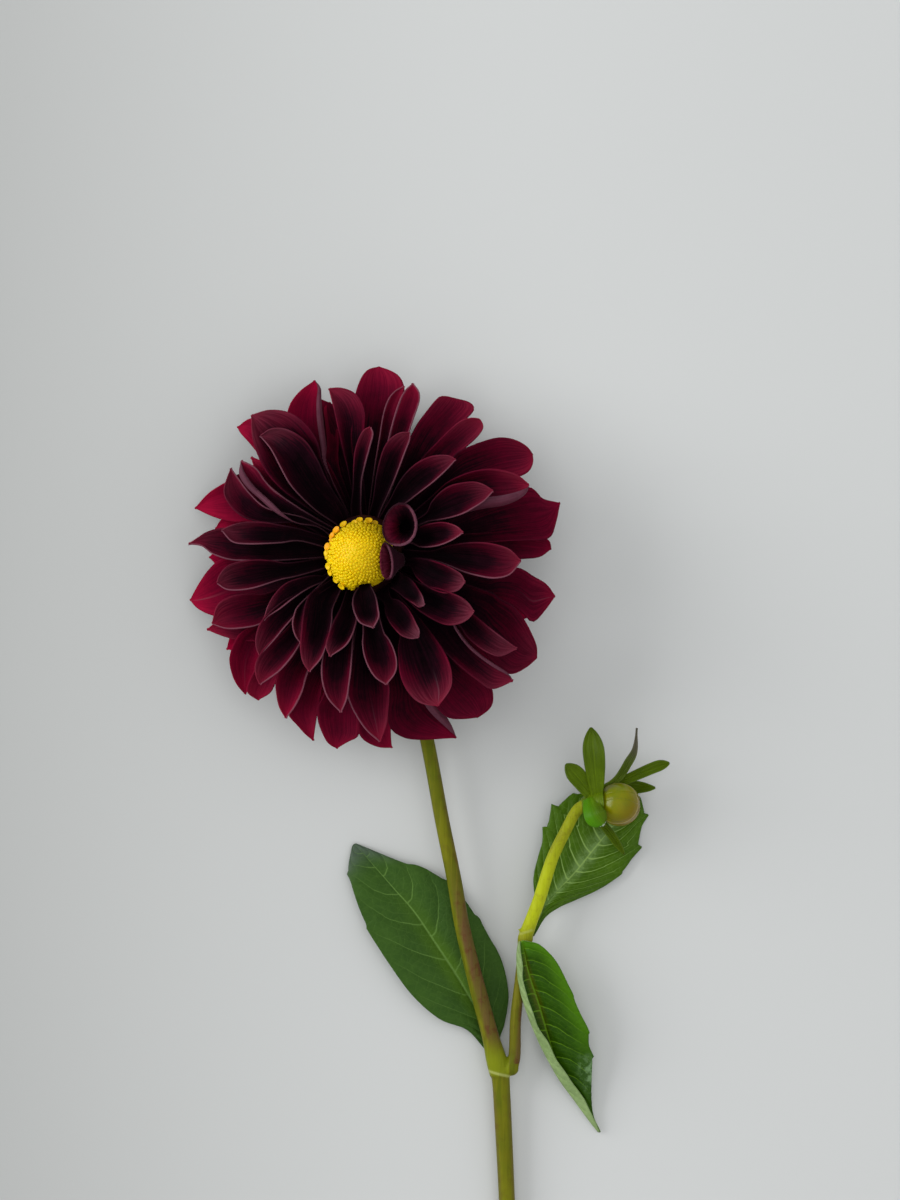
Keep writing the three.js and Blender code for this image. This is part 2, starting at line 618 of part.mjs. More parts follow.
// Bud: a ball a little flattened, with low ribs where its closed bracts meet, and the bracts
// that stand round it on a small cup
const budCentre = [75, -74.1, 12.6];
const budFlattening = 0.94;
const budRibCount = 5;
const budClearance = 0.7;
const budCup = [
  [63.9, -74.5, 13.1, 2.2], [66, -74.4, 13, 4.2], [68.4, -74.3, 12.8, 5.8], [71, -74.2, 12.7, 6.9],
];
const budBracts = [
  { places: [[67.2, -71.4, 15], [67.6, -61, 18.4], [66.9, -51.3, 17.5]], width: 6.2 },
  { places: [[66.4, -72.2, 14.6], [62.6, -66.4, 16], [59.2, -61.9, 15.5]], width: 5.2 },
  { places: [[66.3, -72.4, 16.4], [68.4, -77.6, 20.3], [71.2, -81.2, 20]], width: 7.2 },
  { places: [[67.4, -70.8, 11], [76.2, -64.4, 12], [79.5, -58.5, 12.4], [80.7, -51.4, 12]], width: 2.9 },
  { places: [[67.4, -71.2, 9], [78, -65.6, 10.6], [90.6, -61.6, 11]], width: 3.9 },
  { places: [[67.2, -72.6, 8.4], [77, -69.4, 5.2], [86.2, -69.3, 7]], width: 3.8 },
  { places: [[67.4, -77, 9.6], [72.4, -82.6, 8.6], [77, -89.3, 6.6]], width: 2.4 },
];

function budSolid(grow, relief, sides, rings) {
  const shape = new THREE.SphereGeometry(1, sides, rings);
  shape.rotateZ(-Math.PI / 2);
  const place = shape.attributes.position;
  const at = new THREE.Vector3();
  for (let i = 0; i < place.count; i += 1) {
    at.fromBufferAttribute(place, i);
    const rib = relief * Math.cos(budRibCount * Math.atan2(at.z, at.y)) * Math.hypot(at.y, at.z);
    at.multiplyScalar(budRadius + grow + rib);
    at.x *= budFlattening;
    place.setXYZ(i, at.x, at.y, at.z);
  }
  shape.translate(...budCentre);
  return toSolid(shape);
}

function budBractsSolid() {
  const cup = stalkSolid(budCup, 0, 14, 5);
  const bracts = budBracts.map(({ places, width }) => bractSolid(places, width));
  return joined([cup, ...bracts]);
}

// Solids. Each is cut back from the one that it touches, which leaves the gap between them.
const stemGuard = stemSolid(gap + guardSag, 8);
const discGuard = domeSolid(20, 4, 0, gap + floretRelief + guardSag);
const petalSolids = layers.flatMap((layer) => layer.petals.map((petal) => petalSolid(layer, petal)));
const bloom = joined([receptacleSolid(), ...petalSolids]).subtract(discGuard).subtract(stemGuard);
const budSeat = budSolid(budClearance, 0, 12, 7);

const group = new THREE.Group();
group.position.set(-centreX, -centreY, 0);

function addNode(name, solid, color, roughness) {
  const material = new THREE.MeshStandardMaterial({ color, roughness, metalness: 0 });
  const mesh = new THREE.Mesh(toGeometry(solid), material);
  mesh.name = name;
  group.add(mesh);
}

addNode("bloom_petals", oneSkin(aboveSurface(bloom)), 0x5a0018, 0.6);
addNode("bloom_disc", domeSolid(44, 8, floretRelief, 0), 0xd8b400, 0.5);
addNode("bloom_calyx", oneSkin(calyxSolid().subtract(stemGuard)), 0x4c6b22, 0.6);
addNode("stem", aboveSurface(stemSolid(0, 10)), 0x7a7a28, 0.55);
addNode("leaf_left", leafSolid(leafLeftRows, leafLeftTeeth, 0.6), 0x2f4a24, 0.45);
addNode("leaf_bud", leafSolid(leafBudRows, leafBudTeeth, 1), 0x3a6a24, 0.45);
addNode("leaf_hanging", leafSolid(leafHangingRows, leafHangingTeeth, 0.6), 0x2f7a14, 0.4);
addNode("bud", budSolid(0, budRibs, 20, 10), 0x8f9410, 0.35);
addNode("bud_bracts", oneSkin(budBractsSolid().subtract(budSeat).subtract(stemGuard)), 0x3f7020, 0.5);

export default group;
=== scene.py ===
# A cut dahlia lying on its back, seen from straight above: burgundy petals round a yellow disc,
# a stem with its node, a side shoot, three leaves and a closed bud.
# Everything is modelled in millimetres measured from the middle of the head, and settle() moves
# a finished piece into the frame, in metres.
import math
import random
import bpy
from mathutils import Matrix, Vector


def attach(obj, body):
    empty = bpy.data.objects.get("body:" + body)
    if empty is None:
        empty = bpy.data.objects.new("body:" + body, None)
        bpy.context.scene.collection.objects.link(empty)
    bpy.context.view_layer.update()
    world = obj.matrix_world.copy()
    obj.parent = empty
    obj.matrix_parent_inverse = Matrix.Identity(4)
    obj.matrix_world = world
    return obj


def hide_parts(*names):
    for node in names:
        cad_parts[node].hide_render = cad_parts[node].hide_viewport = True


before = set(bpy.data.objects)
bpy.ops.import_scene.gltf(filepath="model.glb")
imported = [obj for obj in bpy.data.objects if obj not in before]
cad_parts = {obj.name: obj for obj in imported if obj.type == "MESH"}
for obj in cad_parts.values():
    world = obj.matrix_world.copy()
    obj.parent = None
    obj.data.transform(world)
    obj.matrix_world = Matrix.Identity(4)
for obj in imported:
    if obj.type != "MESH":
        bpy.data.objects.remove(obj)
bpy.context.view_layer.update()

toFrame = Matrix.Scale(0.001, 4) @ Matrix.Translation((-18.4, 81.3, 0))
surfaceGap = 0.02  # nothing comes nearer to the surface
headTiltLeft = math.radians(12)
headTiltUp = math.radians(3)
headBase = Vector((1.7, 0.1, 12.2))
headAxis = Vector((-math.tan(headTiltLeft), math.tan(headTiltUp), 1)).normalized()
headTurn = Vector((0, 0, 1)).rotation_difference(headAxis)


def onHead(x, y, height):
    return headBase + headTurn @ Vector((x, y, height))


def selectOnly(*pieces):
    bpy.ops.object.select_all(action="DESELECT")
    for piece in pieces:
        piece.select_set(True)
    bpy.context.view_layer.objects.active = pieces[0]


def joinPieces(pieces, name):
    selectOnly(*pieces)
    if len(pieces) > 1:
        bpy.ops.object.join()
    joined = bpy.context.object
    joined.name = name
    joined.data.name = name
    return joined


def copyPiece(piece):
    twin = piece.copy()
    twin.data = piece.data.copy()
    bpy.context.collection.objects.link(twin)
    return twin


def dress(piece, *materials):
    piece.data.materials.clear()
    for material in materials:
        piece.data.materials.append(material)


def applyModifier(piece, kind, **settings):
    selectOnly(piece)
    modifier = piece.modifiers.new(kind.lower(), kind)
    for setting, value in settings.items():
        setattr(modifier, setting, value)
    bpy.ops.object.modifier_apply(modifier=modifier.name)


def editAll(piece, *steps):
    # each step is a call that runs in edit mode on the whole mesh
    selectOnly(piece)
    bpy.ops.object.mode_set(mode="EDIT")
    bpy.ops.mesh.select_all(action="SELECT")
    for step in steps:
        step()
    bpy.ops.object.mode_set(mode="OBJECT")


def settle(piece, slotName, *nodes):
    # into the frame, smooth, on its body, in place of its CAD node
    selectOnly(piece)
    bpy.ops.object.transform_apply(location=True, rotation=True, scale=True)
    for vertex in piece.data.vertices:
        vertex.co.z = max(vertex.co.z, surfaceGap)
    piece.data.transform(toFrame)
    bpy.ops.object.shade_smooth()
    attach(piece, "root")
    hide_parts(*nodes)
    return piece


def mix(a, b, share):
    return a + (b - a) * share


def smooth(low, high, value):
    share = min(1, max(0, (value - low) / (high - low)))
    return share * share * (3 - 2 * share)


def along(stops, at):
    # place on a smooth line through the stops, at counted in stops
    last = len(stops) - 1
    i = min(max(int(at), 0), last - 1)
    f = at - i
    p1, p2 = stops[i], stops[i + 1]
    p0 = stops[i - 1] if i > 0 else p1 * 2 - p2
    p3 = stops[i + 2] if i + 2 <= last else p2 * 2 - p1
    return (p1 * 2 + (p2 - p0) * f + (p0 * 2 - p1 * 5 + p2 * 4 - p3) * f ** 2
            + (p1 * 3 - p0 - p2 * 3 + p3) * f ** 3) * 0.5


# Shader helpers. A node goes into the tree of the sockets that feed it.
def newMaterial(name):
    material = bpy.data.materials.new(name)
    material.use_nodes = True
    tree = material.node_tree
    return material, tree, tree.nodes["Principled BSDF"]


def addNode(tree, kind, **settings):
    node = tree.nodes.new(kind)
    for setting, value in settings.items():
        setattr(node, setting, value)
    return node


def feed(socket, value):
    # a number or colour is set on the socket, another socket is linked to it
    if isinstance(value, tuple):
        socket.default_value = (*value, 1)
    elif isinstance(value, (int, float)):
        socket.default_value = value
    else:
        value.id_data.links.new(value, socket)


def calculate(operation, *values):
    tree = next(value.id_data for value in values if isinstance(value, bpy.types.NodeSocket))
    node = addNode(tree, "ShaderNodeMath", operation=operation)
    for socket, value in zip(node.inputs, values):
        feed(socket, value)
    return node.outputs[0]


def repeat(operation, first, others):
    for other in others:
        first = calculate(operation, first, other)
    return first


def times(first, *others):
    return repeat("MULTIPLY", first, others)


def plus(first, *others):
    return repeat("ADD", first, others)


def larger(first, *others):
    return repeat("MAXIMUM", first, others)


def minus(first, second):
    return calculate("SUBTRACT", first, second)


def straight(value, slope, start):
    return calculate("MULTIPLY_ADD", value, slope, start)


def fromMiddle(u):
    # 0 on a blade's middle line and 1 on its margins
    return calculate("ABSOLUTE", minus(times(u, 2), 1))


def remap(value, low, high, toLow=0, toHigh=1):
    node = addNode(value.id_data, "ShaderNodeMapRange", interpolation_type="SMOOTHSTEP")
    for socket, given in zip(node.inputs, (value, low, high, toLow, toHigh)):
        feed(socket, given)
    return node.outputs["Result"]


def paint(colour, *coats):
    # one coat over another, each a mask and a colour
    for mask, coat in coats:
        node = addNode(mask.id_data, "ShaderNodeMix", data_type="RGBA")
        for socket, value in zip((node.inputs[0], node.inputs[6], node.inputs[7]), (mask, colour, coat)):
            feed(socket, value)
        colour = node.outputs[2]
    return colour


def ramp(share, stops):
    node = addNode(share.id_data, "ShaderNodeValToRGB")
    feed(node.inputs["Fac"], share)
    elements = node.color_ramp.elements
    while len(elements) < len(stops):
        elements.new(0.5)
    for element, (place, colour) in zip(elements, stops):
        element.position = place
        element.color = (*colour, 1)
    return node.outputs["Color"]


def noise(vector, scale, detail=2):
    node = addNode(vector.id_data, "ShaderNodeTexNoise")
    for socketName, value in (("Vector", vector), ("Scale", scale), ("Detail", detail)):
        feed(node.inputs[socketName], value)
    return node.outputs["Fac"]


def finishSkin(shader, colour, height, finish):
    # finish has plain numbers for the shader's own sockets, and the relief's depth in metres
    feed(shader.inputs["Base Color"], colour)
    for socketName, value in finish.items():
        if socketName != "relief":
            shader.inputs[socketName].default_value = value
    bump = addNode(shader.id_data, "ShaderNodeBump")
    feed(bump.inputs["Distance"], finish["relief"])
    feed(bump.inputs["Height"], height)
    feed(shader.inputs["Normal"], bump.outputs["Normal"])


def newGroup(name, inputs, outputs):
    group = bpy.data.node_groups.new(name, "ShaderNodeTree")
    for socketName, value in inputs.items():
        socket = group.interface.new_socket(socketName, in_out="INPUT", socket_type="NodeSocketFloat")
        socket.default_value = value
    for socketName in outputs:
        group.interface.new_socket(socketName, in_out="OUTPUT", socket_type="NodeSocketFloat")
    start = addNode(group, "NodeGroupInput")
    end = addNode(group, "NodeGroupOutput")
    return group, start.outputs, end.inputs


def useGroup(tree, group, **values):
    node = addNode(tree, "ShaderNodeGroup", node_tree=group)
    for socketName, value in values.items():
        feed(node.inputs[socketName], value)
    return node.outputs


def uvPlace(tree):
    return addNode(tree, "ShaderNodeUVMap", uv_map="UVMap").outputs["UV"]


def objectPlace(tree):
    return addNode(tree, "ShaderNodeTexCoord").outputs["Object"]


def readUv(tree):
    parts = addNode(tree, "ShaderNodeSeparateXYZ")
    feed(parts.inputs[0], uvPlace(tree))
    return parts.outputs[0], parts.outputs[1]


def readAttribute(tree, name):
    return addNode(tree, "ShaderNodeAttribute", attribute_name=name).outputs["Fac"]


# Soft blotches at two sizes, on Object coordinates: from 0 to 1
def makeMottle():
    group, given, result = newGroup("softMottle", {"Size": 300.0}, ["Mask"])
    place = objectPlace(group)
    coarse = noise(place, given["Size"])
    fine = noise(place, times(given["Size"], 6))
    feed(result["Mask"], remap(plus(times(coarse, 0.7), times(fine, 0.3)), 0.3, 0.7))
    return group


mottle = makeMottle()


def blotches(tree, size):
    return useGroup(tree, mottle, Size=size)["Mask"]


# Uneven streaks that run the length of a blade, others on each blade
def makeLengthLines():
    group, given, result = newGroup("lengthLines", {"Lines": 20.0, "Waver": 0.5}, ["Mask"])
    u, v = readUv(group)
    place = addNode(group, "ShaderNodeCombineXYZ")
    apart = times(readAttribute(group, "chance"), 40)
    for socket, value in zip(place.inputs, (times(u, given["Lines"]), times(v, given["Waver"]), apart)):
        feed(socket, value)
    feed(result["Mask"], remap(noise(place.outputs[0], 2.5, 3), 0.32, 0.68))
    return group


lengthLines = makeLengthLines()


def lengthStreaks(tree, lines, waver):
    return useGroup(tree, lengthLines, Lines=lines, Waver=waver)["Mask"]


# Petal skins, face and reverse. They read what bendPetal() and cupPetal() give each point: tone,
# from 0 on the innermost ring to 1 on the outermost, chance, how crimson the petal is, fromEdge,
# the millimetres to the nearer margin, pale, how strongly that margin gets a painted highlight
# line, rib and cup.
# margin is the mauve of the painted highlight lines and the painted sheen on the petals, and of the ribs
petalLook = {
    "root": (0.003, 0.0010, 0.002), "dark": (0.013, 0.0018, 0.0052), "middle": (0.085, 0.0008, 0.012),
    "bright": (0.25, 0.001, 0.023), "margin": (0.18, 0.073, 0.100), "reverse": (0.13, 0.046, 0.070),
    "reverseDark": (0.045, 0.006, 0.016), "reverseOuter": (0.10, 0.004, 0.02),
    "faceFinish": {"Roughness": 0.75, "Specular IOR Level": 0.02, "Sheen Weight": 0.006,
                   "Sheen Roughness": 0.35, "Sheen Tint": (0.9, 0.3, 0.45, 1), "relief": 0.00004},
    "reverseFinish": {"Roughness": 0.65, "Specular IOR Level": 0.06, "Sheen Weight": 0.05,
                      "Sheen Roughness": 0.4, "Sheen Tint": (0.9, 0.6, 0.7, 1), "relief": 0.00008},
}


def petalFaceMaterial():
    material, tree, shader = newMaterial("petalFace")
    u, v = readUv(tree)
    tone, chance, pale = (readAttribute(tree, name) for name in ("tone", "chance", "pale"))
    inner = minus(1, tone)
    lines = lengthStreaks(tree, 14, 1.4)
    spots = blotches(tree, 160)
    side = fromMiddle(u)
    steep = times(side, side)
    # how far up out of the hollow, at the sides and at the tip together
    end = remap(v, 0.3, 0.95, 0, 1.1)
    climb = calculate("SQRT", plus(steep, times(end, end)))
    # darker deep in the hollow and towards the root: the petal's own dark base, with painted shade where the
    # hollow is deep
    hollow = times(remap(climb, 0.1, 1.2, 0, 0.8), remap(v, 0, 0.6, 0.1, 1))
    outward = times(larger(minus(v, straight(tone, -0.45, 0.5)), 0), 0.95)
    outward = plus(outward, times(steep, 0.1))
    shade = times(plus(times(hollow, inner), times(outward, tone)), straight(chance, 0.85, 0.5))
    # painted light: brighter crimson at the tips of the redder petals, as if lit through
    paintedTipLight = times(remap(v, 0.7, 1, 0, 0.35), chance)
    shade = plus(shade, times(paintedTipLight, straight(lines, 0.8, 0.4)))
    for mask, share in ((spots, 0.12), (lines, 0.14)):
        shade = plus(shade, times(minus(mask, 0.5), share))
    colour = ramp(shade, [(0, petalLook["root"]), (0.2, petalLook["dark"]),
                          (0.5, petalLook["middle"]), (1, petalLook["bright"])])
    # painted sheen: a greyed, streaky mauve over the walls and tips of the inner petals, where light
    # would graze them, weaker on the side whose margin has the painted highlight line
    paintedSheen = remap(straight(end, 0.9, times(steep, 0.3)), 0.28, 1.2, 0, 0.95)
    paintedSheen = times(paintedSheen, straight(lines, 0.75, 0.3), inner)
    for mask, loss in ((chance, 0.6), (pale, 0.6), (readAttribute(tree, "cup"), 0.75)):
        paintedSheen = times(paintedSheen, straight(mask, -loss, 1))
    # that painted highlight line along a margin, where light would catch the petal's edge, and a rib
    # down the middle of some outer petals
    paintedHighlightLine = times(pale, pale)
    wide = times(straight(paintedHighlightLine, 0.22, 0.2), straight(spots, 1.2, 0.5))
    rim = remap(calculate("DIVIDE", readAttribute(tree, "fromEdge"), wide), 0.3, 1, 1, 0)
    rim = times(rim, straight(paintedHighlightLine, 0.64, 0.03), remap(v, 0.1, 0.6, 0.2, 1))
    rib = times(readAttribute(tree, "rib"), remap(side, 0, 0.07, 0.6, 0), remap(v, 0.5, 0.8))
    colour = paint(colour, (larger(rim, rib, paintedSheen), petalLook["margin"]))
    finishSkin(shader, colour, plus(lines, times(spots, 0.5)), petalLook["faceFinish"])
    return material


def petalReverseMaterial():
    material, tree, shader = newMaterial("petalReverse")
    lines = lengthStreaks(tree, 16, 1.4)
    dark = petalLook["reverseDark"]
    plain = paint(dark, (readAttribute(tree, "tone"), petalLook["reverseOuter"]))
    plain = paint(dark, (remap(readUv(tree)[1], 0.05, 0.6), plain))
    # mauve along a margin marked pale, the reverse's own greyish mauve and a painted highlight together,
    # dark wine elsewhere, and painted shade over the cups' reverse away from that margin
    near = remap(readAttribute(tree, "fromEdge"), 0.4, 2.2, 1, 0)
    mauveAndPaintedHighlight = times(near, readAttribute(tree, "pale"))
    cupShade = times(readAttribute(tree, "cup"), minus(0.8, mauveAndPaintedHighlight))
    colour = paint(plain, (mauveAndPaintedHighlight, petalLook["reverse"]), (times(lines, 0.3), petalLook["middle"]),
                   (times(blotches(tree, 220), 0.3), petalLook["dark"]), (cupShade, petalLook["dark"]))
    finishSkin(shader, colour, lines, petalLook["reverseFinish"])
    return material


petalFace = petalFaceMaterial()
petalReverse = petalReverseMaterial()


# Petals. A ring has its root's radius and height on the receptacle, the height of its tips, how
# far a blade bows, how its margins curl at root and tip, how its tip hooks up, its tone, half its
# root's width, and vee, how sharp its crease is.
petalMake = {
    "across": 20, "along": 34, "thickness": 0.34, "widestAt": 0.66, "rootWidth": 0.3, "tipHalf": 0.3,
    "shoulder": 1.9, "nearRoot": 1.2, "steepest": 1.35,
    "surfaceTipLimit": 10, "lowestTip": 1.5, "fillerRing": 5, "backRing": 6, "backCount": 13,
    "backReach": 47, "backWidth": 13, "stemAzimuth": 288, "stemClearance": 13,
    "lineSteps": 60, "fineSteps": 240, "widestRow": 40, "hookFrom": 0.62, "bladeCup": 0.75,
    "rollFrom": 0.66, "rollRadius": 0.3, "rollTurn": 2.5, "rolledCurl": 1.25,
}
rings = [
    {"name": "petalsFirst", "rootRadius": 12.1, "rootHeight": 13, "tipHeight": 41, "bow": 24,
     "curlRoot": 1.5, "curlTip": 1.5, "hook": 0.5, "tone": 0.05, "rootHalf": 3.2, "vee": 0.55},
    {"name": "petalsSecond", "rootRadius": 11.7, "rootHeight": 12.4, "tipHeight": 41, "bow": 22,
     "curlRoot": 1.5, "curlTip": 1.4, "hook": 0.6, "tone": 0.25, "rootHalf": 2.0, "vee": 0.5},
    {"name": "petalsThird", "rootRadius": 10.6, "rootHeight": 11.2, "tipHeight": 36, "bow": 24,
     "curlRoot": 1.45, "curlTip": 1.2, "hook": 0.5, "tone": 0.45, "rootHalf": 1.5, "vee": 0.4},
    {"name": "petalsFourth", "rootRadius": 10.2, "rootHeight": 9.4, "tipHeight": 28, "bow": 22,
     "curlRoot": 1.4, "curlTip": 0.95, "hook": 0.35, "tone": 0.62, "rootHalf": 1.5, "vee": 0.3},
    {"name": "petalsFifth", "rootRadius": 10, "rootHeight": 8.2, "tipHeight": 16, "bow": 22,
     "curlRoot": 1.2, "curlTip": 0.6, "hook": 0.1, "tone": 0.85, "rootHalf": 1.5, "vee": 0.15},
    {"name": "petalsSixth", "rootRadius": 9.6, "rootHeight": 7.2, "tipHeight": 8, "bow": 20,
     "curlRoot": 1.1, "curlTip": 0.4, "hook": 0.0, "tone": 1.0, "rootHalf": 1.5, "vee": 0.1},
    {"name": "petalsBack", "rootRadius": 9, "rootHeight": 6.4, "tipHeight": -0.4, "bow": -7,
     "curlRoot": 0.9, "curlTip": 0.25, "hook": 0.0, "tone": 1.0, "rootHalf": 1.5, "vee": 0.05},
]
eye = Vector((24.6, -12.9, 1508))  # the camera, from the middle of the head


def underEye(x, y, height):
    # the place at this height that covers x, y on the surface, seen from the camera
    share = 1 - height / eye.z
    return Vector((mix(eye.x, x, share), mix(eye.y, y, share), height))


def overSurface(place):
    share = 1 - place.z / eye.z
    return Vector((eye.x + (place.x - eye.x) / share, eye.y + (place.y - eye.y) / share))


def hiddenPetal(level, azimuth, reach, width):
    return {"level": level, "azimuth": azimuth, "reach": reach, "width": width}


def seenPetal(level, left, right, tip, **ways):
    return {"level": level, "left": left, "right": right, "tip": tip, **ways}
